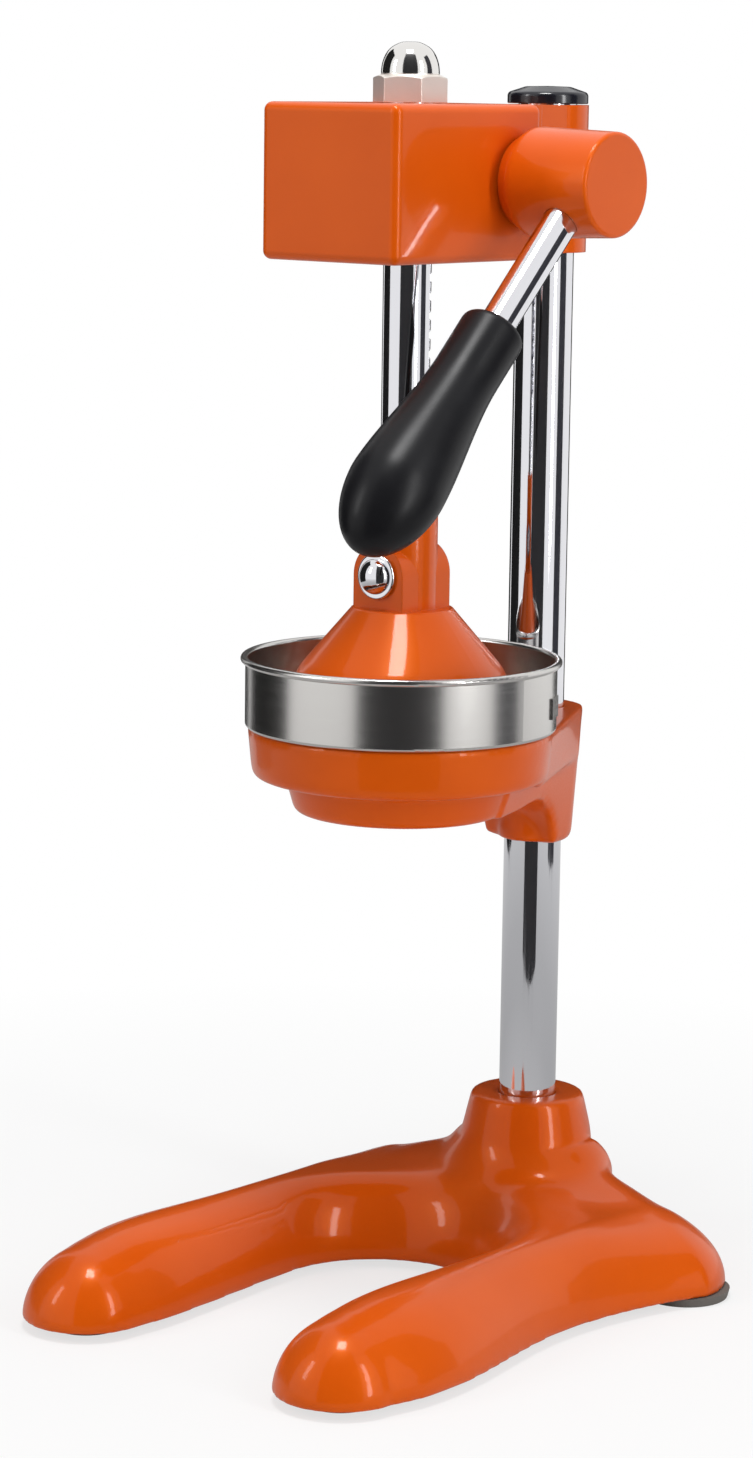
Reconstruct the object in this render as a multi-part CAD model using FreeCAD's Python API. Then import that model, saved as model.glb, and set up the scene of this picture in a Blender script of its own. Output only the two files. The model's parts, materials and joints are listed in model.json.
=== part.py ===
import FreeCAD, Part
import math
import os

# Lever citrus juice press, in millimetres.
# The origin is on the table under the middle of the base. X points to the lever's side,
# Y points back to the column and Z points up. The press is shown at rest: the lever is
# down and the press cone sits over the reamer.
V = FreeCAD.Vector

# Fits between pieces
slide_fit = 0.05          # radial gap of a shaft or rod that turns or slides in its bush
seat_fit = 0.05           # radial gap of a piece that is pushed into a hole and stays there
face_gap = 0.3            # gap between flat faces that move past each other
thread_fit = 0.1          # radial gap of a screw in its clearance hole
plate_fit = 0.2           # gap around a cover plate in its recess

# Layout
column_setback = 91.5     # column axis behind the press axis
bowl_rim_z = 248.5        # top of the bowl above the table
head_clearance = 194.5    # bowl rim to the underside of the head
lever_angle = 45.0        # lever below the horizontal at rest

# Column
column_radius = 12.5
column_wall = 1.5

# Base casting: two front legs and a rear yoke with one rounded section throughout
foot_height = 4.0
base_wall = 5.0
crest_height = 34.5       # casting's crest above its underside
tip_crest_height = 29.0
crest_x = 70.0            # legs' crest line from the middle
section_power = 1.9       # 2 is an ellipse, more is squarer
slot_width_half = 46.5    # clear width between the legs, half
slot_end_setback = 9.5    # centre of the slot's round end, in front of the press axis
leg_inner_half = crest_x - slot_width_half
tip_radius = 27.0
tip_reach = 115.0         # centre of a leg's round tip, in front of the press axis
heel_radius = 37.5        # round rear corners
heel_setback = 83.0       # their centres behind the press axis
boss_top_radius = 24.5
boss_foot_radius = 29.0
boss_height = 35.9        # boss top above the crest
boss_cone_height = 18.4
boss_edge_radius = 2.5
flare_radius = 41.0       # where the boss has run out into the casting
rib_thickness = 4.0
leg_rib_count = 3
leg_rib_pitch = 35.0
socket_floor = 7.0

# Rubber feet
foot_radius = 20.0
front_foot_radius = 16.0
rear_foot_offset = (19.5, 6.0)
foot_screw_radius = 2.0
foot_screw_head = 4.0
foot_screw_head_height = 2.2
foot_screw_length = 14.0
foot_pad_radius = 8.0

# Bowl bracket
bowl_radius = 64.0
bowl_foot_radius = 62.0
bowl_wall = 4.0
bowl_corner_inset = 1.0   # inner floor corner, inside the band's own wall
band_height = 21.0
arm_drop = 1.0            # arm's top below the bowl's rim
arm_depth = 22.5
dish_radius = 48.0
dish_depth = 14.8
outlet_radius = 12.0
outlet_wall = 2.5
outlet_drop = 3.0
clamp_top_radius = 20.8
clamp_foot_radius = 16.8
clamp_length = 59.8
sleeve_wall = 3.0
arch_radius = 27.0        # under the arm, from the dish's underside down to the clamp's foot
arch_setback = 9.5        # arch's rear, in front of the column axis
gusset_front_radius = 38.0

# Strainer basket
sheet = 1.0
basket_radius = 65.2
basket_height = 28.5
roll_radius = 1.5
basket_step = 3.0         # floor's drop inside the bowl
basket_floor_gap = 0.3    # between the basket's step and the bowl
drain_hole_radius = 1.75
drain_ring_pitch = 4.8
drain_hole_pitch = 7.5
tab_width = 12.0
tab_height = 8.8
tab_drop = 12.6           # below the rim
tab_bearing = 27.0        # degrees from +X

# Reamer
reamer_radius = 35.0
reamer_height = 44.0
reamer_rib_count = 12
reamer_rib_height = 2.4
reamer_rib_thickness = 2.6
reamer_wall = 2.5
reamer_screw_radius = 2.5
reamer_collar_radius = 6.0

# Press cone
cone_foot_gap = 9.5       # cone's foot above the basket's floor
cone_foot_radius = 49.5
cone_waist_radius = 43.0
cone_waist_height = 17.4
cone_waist_round = 20.0
cone_top_radius = 21.0
cone_height = 43.2        # shoulder above the cone's foot
cone_wall = 4.0
press_sleeve_radius = 14.3
press_sleeve_height = 42.8
lug_half_width = 13.2
lug_rise = 14.1           # lug's centre above the shoulder
lug_front = 16.0
lug_rear = 14.8

# Press bolt, through the lug and the rack
press_bolt_radius = 4.0
press_bolt_dome_radius = 7.4
press_bolt_dome_height = 5.0
press_washer_radius = 9.7
press_washer_thickness = 2.0
press_nut_flats = 13.0
press_nut_height = 6.5

# Rack, pinion and shaft
module = 2.5
pinion_teeth = 19
pressure_angle = math.radians(20)
tooth_backlash = 0.35
rack_radius = 10.0
rack_flat = 8.5           # tips of the rack's teeth from its axis
rack_seat = 12.0          # rack's lower end above the cone's shoulder, less the lug's rise
rack_stud_radius = 9.0
rack_stud_height = 17.0
pinion_width = 20.0
shaft_radius = 8.0
key_width = 5.0
key_depth = 3.0           # keyway in the shaft
key_stand = 2.3           # keyway in the pinion or hub
lever_swing = 180.0       # degrees

# Head casting
head_half_width = 36.0
head_front = 50.8         # in front of the press axis
head_rear = 42.0
head_edge_radius = 3.5
head_side_wall = 10.0
head_front_wall = 8.0
head_top_wall = 3.6
neck_half_width = 19.0
pocket_half_width = 12.5
pocket_gap = 1.4          # around the pinion
head_boss_radius = 17.5
cover_thickness = 5.0
cover_gap = 0.9           # cover plate to the pinion's teeth
cover_ledge = 4.0
post_radius = 5.5
cover_screw_radius = 2.0
cover_screw_head = 3.8
cover_screw_head_height = 2.2
cover_screw_length = 12.0
cover_screw_sink = 0.4    # head's face above the plate's underside
bush_wall = 2.0
bush_length = 11.0
shaft_bush_wall = 3.0

# Column cap
cap_radius = 17.2
cap_rim_height = 4.6
cap_dome_height = 2.8
cap_plug_wall = 2.0
cap_plug_depth = 12.0

# Acorn nut
nut_flats = 27.0
nut_hex_height = 11.2
nut_dome_radius = 12.0
nut_dome_height = 13.2
nut_bearing = 27.0        # a flat's direction, degrees from the front towards +X
nut_chamfer = 1.6

# Lever
hub_radius = 22.6
hub_end_radius = 21.2
hub_neck_radius = 18.5    # at the head
hub_shoulder = 7.5        # from the head's end to the widest place
hub_shoulder_round = 7.0
hub_length = 46.7
hub_edge_radius = 1.5
hub_face_wall = 9.0
washer_thickness = 1.0
thrust_washer_radius = 16.0
lever_from_hub_face = 16.7
rod_radius = 7.25
rod_socket_depth = 12.0
rod_stud_radius = 4.0
rod_length = 172.0
grip_start = 78.5
grip_length = 115.5
grip_neck_radius = 13.5
grip_bulb_radius = 19.5
grip_mouth_length = 6.0     # rounded top end
grip_swell_start = 24.0
grip_end_length = 33.5     # widest place to the round end
grip_end_wall = 11.0

# Set screws and the shaft's end screw
set_screw_radius = 3.0
set_screw_socket = 1.7
clamp_bolt_radius = 4.0
clamp_bolt_head_radius = 6.0
clamp_bolt_head_height = 6.0
clamp_bolt_drop = 8.4     # below the boss top
end_washer_radius = 12.0
end_washer_thickness = 2.0
end_screw_radius = 3.0
end_screw_head = 5.0
end_screw_head_height = 3.2
end_screw_length = 14.0

# Derived places
press_y = (tip_reach + tip_radius - heel_setback - heel_radius) / 2
column_y = press_y + column_setback
boss_top_z = foot_height + crest_height + boss_height
basket_floor_z = bowl_rim_z
cone_foot_z = basket_floor_z + sheet + cone_foot_gap - basket_step
shoulder_z = cone_foot_z + cone_height
lug_z = shoulder_z + lug_rise
press_sleeve_top_z = shoulder_z + press_sleeve_height
pitch_radius = module * pinion_teeth / 2
pinion_tip_radius = pitch_radius + module
pinion_root_radius = pitch_radius - 1.25 * module
rack_pitch_line = rack_flat - module
tooth_pitch = math.pi * module
head_bottom_z = bowl_rim_z + head_clearance
shaft_y = press_y + rack_pitch_line + pitch_radius
shaft_z = head_bottom_z + cover_thickness + cover_gap + pinion_tip_radius
head_top_z = shaft_z + pinion_tip_radius + pocket_gap + head_top_wall
head_height = head_top_z - head_bottom_z
travel = math.radians(lever_swing) * pitch_radius
column_bottom_z = foot_height + socket_floor
clamp_foot_z = bowl_rim_z - clamp_length
band_foot_z = bowl_rim_z - band_height
dish_foot_z = band_foot_z - dish_depth
cavity_top_z = head_top_z - head_top_wall
hub_inner_x = head_half_width + washer_thickness + face_gap
hub_outer_x = hub_inner_x + hub_length
lever_x = hub_outer_x - lever_from_hub_face
lever_direction = V(0, -math.cos(math.radians(lever_angle)), -math.sin(math.radians(lever_angle)))
hub_centre = V(lever_x, shaft_y, shaft_z)


def cylinder(radius, start, end):
    axis = end - start
    return Part.makeCylinder(radius, axis.Length, start, axis)


def ring(outer, inner, start, end):
    axis = (end - start).normalize()
    return cylinder(outer, start, end).cut(cylinder(inner, start - axis, end + axis))


def box(low, high):
    size = high - low
    return Part.makeBox(size.x, size.y, size.z, low)


def fuse(shapes):
    return shapes[0].multiFuse(shapes[1:]).removeSplitter()


def hexagon(across_flats, start, end, bearing=0.0):
    """Hexagonal prism along start to end, with a flat facing the bearing."""
    axis = (end - start).normalize()
    side = V(0, 0, 1).cross(axis)
    if side.Length < 0.5:
        side = V(math.sin(math.radians(bearing)), -math.cos(math.radians(bearing)), 0)
    up = axis.cross(side)
    corner_radius = across_flats / math.sqrt(3)
    angles = [math.radians(30 + 60 * k) for k in range(6)]
    points = [start + side * (corner_radius * math.cos(a)) + up * (corner_radius * math.sin(a)) for a in angles]
    return Part.Face(Part.makePolygon(points + points[:1])).extrude(end - start)


def rounded_wire(corners, place):
    """Closed outline through (a, b, radius) corners, each rounded to its radius."""
    count = len(corners)
    edges = []
    ends = []
    for k in range(count):
        before, here, after = [V(*corners[(k + step) % count][:2], 0) for step in (-1, 0, 1)]
        radius = corners[k][2]
        to_before = (before - here).normalize()
        to_after = (after - here).normalize()
        half = to_before.getAngle(to_after) / 2
        if radius == 0:
            ends.append((here, None, here))
            continue
        reach = radius / math.tan(half)
        middle = here + (to_before + to_after).normalize() * (radius / math.sin(half) - radius)
        ends.append((here + to_before * reach, middle, here + to_after * reach))
    for k in range(count):
        entry, middle, leave = ends[k]
        if middle is not None:
            edges.append(Part.Arc(place(entry), place(middle), place(leave)).toShape())
        following = ends[(k + 1) % count][0]
        if (following - leave).Length > 1e-6:
            edges.append(Part.makeLine(place(leave), place(following)))
    return Part.Wire(Part.__sortEdges__(edges))


def turned(corners, centre):
    """Solid turned about the vertical axis through centre, from (radius, z) corners."""
    wire = rounded_wire(corners, lambda p: centre + V(p.x, 0, p.y))
    return Part.Face(wire).revolve(centre, V(0, 0, 1), 360)


def turned_on(corners, start, direction):
    """Solid turned about a line, from (distance along it, radius) corners."""
    across = direction.cross(V(1, 0, 0))
    if across.Length < 0.5:
        across = V(0, 0, 1)
    wire = rounded_wire(corners, lambda p: start + direction * p.x + across * p.y)
    return Part.Face(wire).revolve(start, direction, 360)


# Base casting

def section_edge(width, height, place, samples=8):
    """Rounded half section from its foot at full width to its crest in the middle."""
    points = []
    for k in range(samples + 1):
        t = math.pi / 2 * k / samples
        across = width * math.cos(t) ** (2 / section_power) if k < samples else 0.0
        up = height * math.sin(t) ** (2 / section_power)
        points.append(place(across, up))
    curve = Part.BSplineCurve()
    rise = place(0, 1) - place(0, 0)
    inward = place(0, 0) - place(1, 0)
    curve.interpolate(Points=points, InitialTangent=rise, FinalTangent=inward)
    return curve.toShape()


def leg_section(y, inner, outer, height, side):
    """Closed cross-section of a leg. side is 1 on the lever's side and -1 on the other."""
    def place(x, up):
        return V(side * x, press_y + y, foot_height + up)
    outer_edge = section_edge(outer, height, lambda a, up: place(crest_x + a, up))
    inner_edge = section_edge(inner, height, lambda a, up: place(crest_x - a, up))
    floor = Part.makeLine(place(crest_x - inner, 0), place(crest_x + outer, 0))
    return Part.Wire(Part.__sortEdges__([floor, outer_edge, inner_edge]))


def round_end(centre, width, height, start_direction, angle):
    """Half section swung about the vertical line through its crest."""
    edge = section_edge(width, height, lambda a, up: centre + start_direction * a + V(0, 0, up))
    foot = Part.makeLine(centre, centre + start_direction * width)
    axis = Part.makeLine(centre, centre + V(0, 0, height))
    face = Part.Face(Part.Wire(Part.__sortEdges__([foot, edge, axis])))
    return face.revolve(centre, V(0, 0, 1), angle)


def base_mass(inset):
    """Horseshoe of the base, with its rounded sections drawn in by inset."""
    tip_height = tip_crest_height - inset
    height = crest_height - inset
    stations = [
        (-tip_reach, tip_radius, tip_radius, tip_height),
        (-80.0, 28.0, 31.6, height),
        (-45.0, 25.5, 27.0, height),
        (-slot_end_setback, leg_inner_half, 21.5, height),
        (25.0, leg_inner_half, 22.0, height),
        (55.0, leg_inner_half, 27.7, height),
        (heel_setback, leg_inner_half, heel_radius, height),
    ]
    pieces = []
    for side in (1, -1):
        wires = [leg_section(y, i - inset, o - inset, h, side) for y, i, o, h in stations]
        pieces.append(Part.makeLoft(wires, True, False))
        tip = V(side * crest_x, press_y - tip_reach, foot_height)
        pieces.append(round_end(tip, tip_radius - inset, tip_height, V(1, 0, 0), -180))
        heel = V(side * crest_x, press_y + heel_setback, foot_height)
        pieces.append(round_end(heel, heel_radius - inset, height, V(0, 1, 0), -90 * side))
    slot_centre = V(0, press_y - slot_end_setback, foot_height)
    heel_y = press_y + heel_setback
    low = V(-crest_x, slot_centre.y, foot_height)
    yoke = box(low, V(crest_x, heel_y, foot_height + height))
    mouth_edge = section_edge(leg_inner_half - inset, height, lambda a,
                              up: slot_centre + V(crest_x - a, 0, up))
    mouth_foot = Part.makeLine(slot_centre, slot_centre + V(slot_width_half + inset, 0, 0))
    mouth_top = Part.makeLine(slot_centre + V(crest_x, 0, height), slot_centre + V(0, 0, height))
    mouth_axis = Part.makeLine(slot_centre, slot_centre + V(0, 0, height))
    mouth = Part.Face(Part.Wire(Part.__sortEdges__([mouth_foot, mouth_edge, mouth_top, mouth_axis])))
    pieces.append(yoke.cut(mouth.revolve(slot_centre, V(0, 0, 1), 360)))
    rear_start = V(-crest_x, heel_y, foot_height)
    rear_edge = section_edge(heel_radius - inset, height, lambda a, up: rear_start + V(0, a, up))
    rear_foot = Part.makeLine(rear_start, rear_start + V(0, heel_radius - inset, 0))
    rear_side = Part.makeLine(rear_start, rear_start + V(0, 0, height))
    rear = Part.Face(Part.Wire(Part.__sortEdges__([rear_foot, rear_edge, rear_side])))
    pieces.append(rear.extrude(V(2 * crest_x, 0, 0)))
    return pieces[0].multiFuse(pieces[1:])


def foot_places():
    """Centre and radius of each rubber foot, by name."""
    places = {}
    for side, word in ((1, "right"), (-1, "left")):
        front = V(side * crest_x, press_y - tip_reach, 0)
        rear = V(side * (crest_x + rear_foot_offset[0]), press_y + heel_setback + rear_foot_offset[1], 0)
        places["front_" + word] = (front, front_foot_radius)
        places["rear_" + word] = (rear, foot_radius)
    return places


def base_casting():
    outside = base_mass(0)
    crest_z = foot_height + crest_height
    axis = V(0, column_y, 0)
    shoulder_height = boss_top_z - boss_cone_height
    boss = turned([(0, foot_height, 0), (boss_foot_radius, foot_height, 0),
                   (boss_foot_radius, shoulder_height, 0),
                   (boss_top_radius, boss_top_z, boss_edge_radius), (0, boss_top_z, 0)], axis)
    flare_run = flare_radius - boss_foot_radius
    shoulder = V(boss_foot_radius, 0, shoulder_height)
    bend = V(boss_foot_radius + 0.33 * flare_run, 0, crest_z + 0.42 * (shoulder_height - crest_z))
    run_out = V(flare_radius, 0, crest_z)
    under = V(boss_foot_radius, 0, crest_z - base_wall)
    flare_outline = [
        Part.Arc(shoulder, bend, run_out).toShape(),
        Part.makeLine(run_out, V(flare_radius, 0, under.z)),
        Part.makeLine(V(flare_radius, 0, under.z), under),
        Part.makeLine(under, shoulder),
    ]
    flare = Part.Face(Part.Wire(Part.__sortEdges__(flare_outline))).revolve(V(0, 0, 0), V(0, 0, 1), 360)
    flare.translate(axis)
    heel_y = press_y + heel_setback
    rear_start = V(-crest_x, heel_y, foot_height)
    rear_edge = section_edge(heel_radius, shoulder_height, lambda a, up: rear_start + V(0, a, up))
    rear_lines = [
        Part.makeLine(rear_start + V(0, 0, shoulder_height),
                      V(-crest_x, press_y, foot_height + shoulder_height)),
        Part.makeLine(V(-crest_x, press_y, foot_height + shoulder_height), V(-crest_x, press_y, foot_height)),
        Part.makeLine(V(-crest_x, press_y, foot_height), rear_start + V(0, heel_radius, 0)),
    ]
    rear_face = Part.Face(Part.Wire(Part.__sortEdges__([rear_edge] + rear_lines)))
    flare = flare.common(rear_face.extrude(V(2 * crest_x, 0, 0)))
    shell = outside.cut(base_mass(base_wall))
    half = rib_thickness / 2
    rib_top = crest_z - base_wall / 2
    rear = press_y + heel_setback + heel_radius
    bars = []
    for side in (1, -1):
        for k in range(leg_rib_count):
            y = press_y - (k + 0.3) * leg_rib_pitch
            reach = (side * (crest_x - tip_radius), side * (crest_x + tip_radius + 2))
            bars.append(box(V(min(reach), y - half, foot_height), V(max(reach), y + half, rib_top)))
        x = side * 0.62 * crest_x
        bars.append(box(V(x - half, press_y, foot_height), V(x + half, rear, rib_top)))
    rib_start = V(-crest_x - heel_radius, column_y - half, foot_height)
    bars.append(box(rib_start, V(crest_x + heel_radius, column_y + half, rib_top)))
    bars.append(box(V(-half, press_y, foot_height), V(half, rear, rib_top)))
    for centre, _ in foot_places().values():
        start = centre + V(0, 0, foot_height)
        bars.append(cylinder(foot_pad_radius, start, centre + V(0, 0, rib_top)))
    ribs = bars[0].multiFuse(bars[1:]).common(outside)
    casting = fuse([shell, ribs, boss, flare])
    socket = cylinder(column_radius + seat_fit, axis + V(0, 0, column_bottom_z),
                      axis + V(0, 0, boss_top_z + 1))
    cuts = [socket]
    for centre, _ in foot_places().values():
        start = centre + V(0, 0, foot_height - 1)
        depth = foot_screw_length + 2
        cuts.append(cylinder(foot_screw_radius + seat_fit, start, start + V(0, 0, depth)))
    bolt_z = boss_top_z - clamp_bolt_drop
    seat = clamp_bolt_seat_y()
    cuts.append(cylinder(clamp_bolt_radius + seat_fit, V(0, column_y, bolt_z), V(0, seat + 1, bolt_z)))
    cuts.append(cylinder(clamp_bolt_head_radius + 1.0, V(0, seat, bolt_z), V(0, seat + 12.0, bolt_z)))
    return casting.cut(cuts[0].multiFuse(cuts[1:]))


def clamp_bolt_seat_y():
    return column_y + boss_top_radius - 2.0


def base_clamp_bolt():
    bolt_z = boss_top_z - clamp_bolt_drop
    seat = clamp_bolt_seat_y()
    head_end = seat + clamp_bolt_head_height
    shank = cylinder(clamp_bolt_radius, V(0, column_y + column_radius, bolt_z), V(0, seat, bolt_z))
    head = turned_on([(0, 0, 0), (clamp_bolt_head_height, 0, 0),
                      (clamp_bolt_head_height, clamp_bolt_head_radius, 0.8),
                      (0, clamp_bolt_head_radius, 0)], V(0, seat, bolt_z), V(0, 1, 0))
    socket = hexagon(clamp_bolt_radius * 1.5, V(0, head_end - 3.5, bolt_z), V(0, head_end + 1, bolt_z))
    return fuse([shank, head]).cut(socket)


# Rubber feet and their screws

def rubber_foot(centre, radius):
    recess = foot_screw_head_height + 0.8
    corners = [
        (foot_screw_radius + thread_fit, recess, 0), (foot_screw_head + 0.5, recess,
                                                      0), (foot_screw_head + 0.5, 0, 0),
        (radius - 1.0, 0, 0.8), (radius, foot_height, 0), (foot_screw_radius + thread_fit, foot_height, 0),
    ]
    return turned(corners, centre)


def foot_screws():
    screws = []
    for centre, _ in foot_places().values():
        seat = 0.8
        screws.append(pan_screw(centre + V(0, 0, seat), V(0, 0, 1), foot_screw_radius, foot_screw_length,
                                foot_screw_head, foot_screw_head_height))
    return Part.makeCompound(screws)


def pan_screw(start, direction, radius, length, head_radius, head_height):
    """Screw whose head starts at start, with the shank along direction and a cross recess."""
    corners = [(0, 0, 0), (0, head_radius, head_height * 0.5), (head_height, head_radius, 0),
               (head_height, radius, 0), (head_height + length, radius, 0.4), (head_height + length, 0, 0)]
    screw = turned_on(corners, start, direction)
    across = direction.cross(V(1, 0, 0))
    if across.Length < 0.5:
        across = V(0, 0, 1)
    other = direction.cross(across)
    slots = []
    for line in (across, other):
        width = other if line == across else across
        low = start - direction - line * (head_radius * 0.55) - width * (head_radius * 0.12)
        points = [low, low + line * (head_radius * 1.1),
                  low + line * (head_radius * 1.1) + width * (head_radius * 0.24),
                  low + width * (head_radius * 0.24)]
        face = Part.Face(Part.makePolygon(points + points[:1]))
        slots.append(face.extrude(direction * (1 + head_height * 0.6)))
    return screw.cut(slots[0].fuse(slots[1]))


def column_tube():
    bottom = V(0, column_y, column_bottom_z)
    return ring(column_radius, column_radius - column_wall, bottom, V(0, column_y, head_top_z))


def column_cap():
    plug = column_radius - column_wall - seat_fit
    corners = [
        (0, cap_rim_height + cap_dome_height, 0), (cap_radius * 0.55,
                                                   cap_rim_height + cap_dome_height * 0.92, 6.0),
        (cap_radius, cap_rim_height, 2.0), (cap_radius, 0, 0.5), (plug, 0, 0), (plug, -cap_plug_depth, 0.8),
        (plug - cap_plug_wall, -cap_plug_depth, 0), (plug - cap_plug_wall, 2.0, 0), (0, 2.0, 0),
    ]
    return turned(corners, V(0, column_y, head_top_z))


# Bowl bracket

def tangent_outline(front_radius, rear_radius, z):
    """Quadrilateral between two circles' common tangents, bowl in front and clamp behind."""
    lean = math.asin((front_radius - rear_radius) / column_setback)
    front = V(front_radius * math.cos(lean), press_y + front_radius * math.sin(lean), z)
    rear = V(rear_radius * math.cos(lean), column_y + rear_radius * math.sin(lean), z)
    points = [front, rear, V(-rear.x, rear.y, z), V(-front.x, front.y, z)]
    return Part.makePolygon(points + points[:1])


def bowl_inner_radius(z):
    """Inside radius of the bowl's band, which widens from the floor's corner up to the rim."""
    corner_z = band_foot_z + bowl_wall
    corner_radius = bowl_foot_radius - bowl_wall - bowl_corner_inset
    share = (z - corner_z) / (bowl_rim_z - corner_z)
    return corner_radius + (bowl_radius - bowl_wall - corner_radius) * share


def bowl_bracket():
    axis = V(0, press_y, 0)
    back = V(0, column_y, 0)
    rim = bowl_rim_z
    neck_radius = dish_radius + 2.0
    outside = turned([
        (0, dish_foot_z, 0), (dish_radius - 4.0, dish_foot_z, 4.0), (dish_radius, band_foot_z - 1.0, 2.0),
        (neck_radius + 2.0, band_foot_z, 0), (bowl_foot_radius, band_foot_z, 3.0),
        (bowl_radius, rim, 1.0), (0, rim, 0),
    ], axis)
    arm_foot_z = rim - arm_drop - arm_depth
    arm_wires = [tangent_outline(bowl_foot_radius - 1.5, clamp_top_radius - 0.6, arm_foot_z),
                 tangent_outline(bowl_radius - 0.5, clamp_top_radius, rim - arm_drop)]
    arm = Part.makeLoft(arm_wires, True, True)
    taper = (clamp_top_radius - clamp_foot_radius) / clamp_length
    clamp_at_band = clamp_foot_radius + taper * (clamp_length - band_height)
    clamp = turned([(0, clamp_foot_z, 0), (clamp_foot_radius, clamp_foot_z, 2.5),
                    (clamp_top_radius, rim - arm_drop, 1.0), (0, rim - arm_drop, 0)], back)
    gusset_wires = [tangent_outline(gusset_front_radius, clamp_foot_radius, clamp_foot_z),
                    tangent_outline(neck_radius, clamp_at_band, band_foot_z)]
    gusset = Part.makeLoft(gusset_wires, True, True)
    arch_rear = column_y - arch_setback
    far = gusset_front_radius * 2
    arch_wire = rounded_wire([
        (press_y - far, clamp_foot_z - 10, 0), (arch_rear, clamp_foot_z - 10, 0),
        (arch_rear, dish_foot_z, arch_radius),
        (press_y - far, dish_foot_z, 0)], lambda p: V(-far, p.x, p.y))
    arch = Part.Face(arch_wire).extrude(V(2 * far, 0, 0))
    web = clamp.fuse(gusset).cut(arch)
    sleeve = turned([(0, clamp_foot_z, 0), (column_radius + sleeve_wall, clamp_foot_z, 2.0),
                     (column_radius + sleeve_wall, rim - arm_drop, 0), (0, rim - arm_drop, 0)], back)
    lip = cylinder(outlet_radius + outlet_wall, axis + V(0, 0, dish_foot_z - outlet_drop),
                   axis + V(0, 0, dish_foot_z + 3))
    body = fuse([outside, arm, web, sleeve, lip])
    floor_z = dish_foot_z + bowl_wall
    corner_z = band_foot_z + bowl_wall
    hollow = turned([
        (0, floor_z - 1.0, 0), (outlet_radius + 2.0, floor_z - 1.0, 0),
        (dish_radius - bowl_wall - 3.0, floor_z + 1.0, 3.0),
        (dish_radius - bowl_wall, corner_z - 1.5, 0), (bowl_inner_radius(corner_z), corner_z, 2.0),
        (bowl_inner_radius(rim + 1), rim + 1, 0), (0, rim + 1, 0),
    ], axis)
    outlet = cylinder(outlet_radius, axis + V(0, 0, dish_foot_z - outlet_drop - 1),
                      axis + V(0, 0, floor_z + 1))
    bore = cylinder(column_radius + seat_fit, back + V(0, 0, clamp_foot_z - 1), back + V(0, 0, rim + 1))
    screw_z = clamp_foot_z + clamp_length / 5
    tapped = cylinder(set_screw_radius + seat_fit, V(0, column_y, screw_z),
                      V(0, column_y + clamp_top_radius + 5, screw_z))
    return body.cut(hollow.multiFuse([outlet, bore, tapped]))


def set_screw(z, outer_y):
    """Headless screw from outer_y to the column, with a hexagon socket."""
    body = cylinder(set_screw_radius, V(0, column_y + column_radius, z), V(0, outer_y, z))
    socket = hexagon(2 * set_screw_socket, V(0, outer_y - 2.5, z), V(0, outer_y + 1, z))
    return body.cut(socket)


def bracket_set_screw():
    screw_z = clamp_foot_z + clamp_length / 5
    return set_screw(screw_z, column_y + clamp_foot_radius)


# Strainer basket

def strainer_basket():
    axis = V(0, press_y, 0)
    floor = basket_floor_z
    low = floor - basket_step
    step_radius = bowl_inner_radius(low) - basket_floor_gap
    rim_z = floor + basket_height
    wall = basket_radius
    pan = turned([
        (reamer_screw_radius + thread_fit, low, 0), (step_radius, low, 1.4), (step_radius, floor, 0),
        (wall, floor, 1.6),
        (wall, rim_z, 0), (wall - sheet, rim_z, 0), (wall - sheet, floor + sheet, 0.8),
        (step_radius - sheet, floor + sheet, 0), (step_radius - sheet, low + sheet, 0.6),
        (reamer_screw_radius + thread_fit, low + sheet, 0),
    ], axis)
    roll = Part.makeTorus(wall + roll_radius - sheet, roll_radius, axis + V(0, 0, rim_z), V(0, 0, 1))
    holes = []
    ring_radius = reamer_radius + reamer_rib_height + drain_hole_radius + 1.4
    while ring_radius < step_radius - 2 * drain_hole_radius:
        count = int(2 * math.pi * ring_radius / drain_hole_pitch)
        for k in range(count):
            a = 2 * math.pi * k / count
            foot = axis + V(ring_radius * math.cos(a), ring_radius * math.sin(a), low - 1)
            holes.append(cylinder(drain_hole_radius, foot, foot + V(0, 0, sheet + 2)))
        ring_radius += drain_ring_pitch
    tab_top = rim_z - tab_drop
    tab = box(V(wall - 0.9, -tab_width / 2, tab_top - tab_height), V(wall + 0.6, tab_width / 2, tab_top))
    tab.rotate(V(0, 0, 0), V(0, 0, 1), tab_bearing)
    tab.translate(axis)
    return fuse([pan, roll, tab]).cut(Part.makeCompound(holes))


# Reamer

def reamer_radius_at(share):
    """Outer radius of the reamer's body at a share of its height, from foot to tip."""
    return reamer_radius * (1 - share ** 1.7) ** 0.62


def reamer_body(grow, base_z, steps=7):
    """Solid of the reamer's outline, grown outwards by grow."""
    points = []
    for k in range(steps + 1):
        share = k / steps
        radius = reamer_radius_at(share) + grow * (1 - share) if k < steps else 0.0
        points.append(V(radius, 0, base_z + reamer_height * share))
    curve = Part.BSplineCurve()
    curve.interpolate(points)
    foot = Part.makeLine(V(0, 0, base_z), points[0])
    axis = Part.makeLine(V(0, 0, base_z), points[-1])
    face = Part.Face(Part.Wire(Part.__sortEdges__([foot, curve.toShape(), axis])))
    body = face.revolve(V(0, 0, 0), V(0, 0, 1), 360)
    body.translate(V(0, press_y, 0))
    return body


def reamer_seat_z():
    return basket_floor_z - basket_step + sheet


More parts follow.
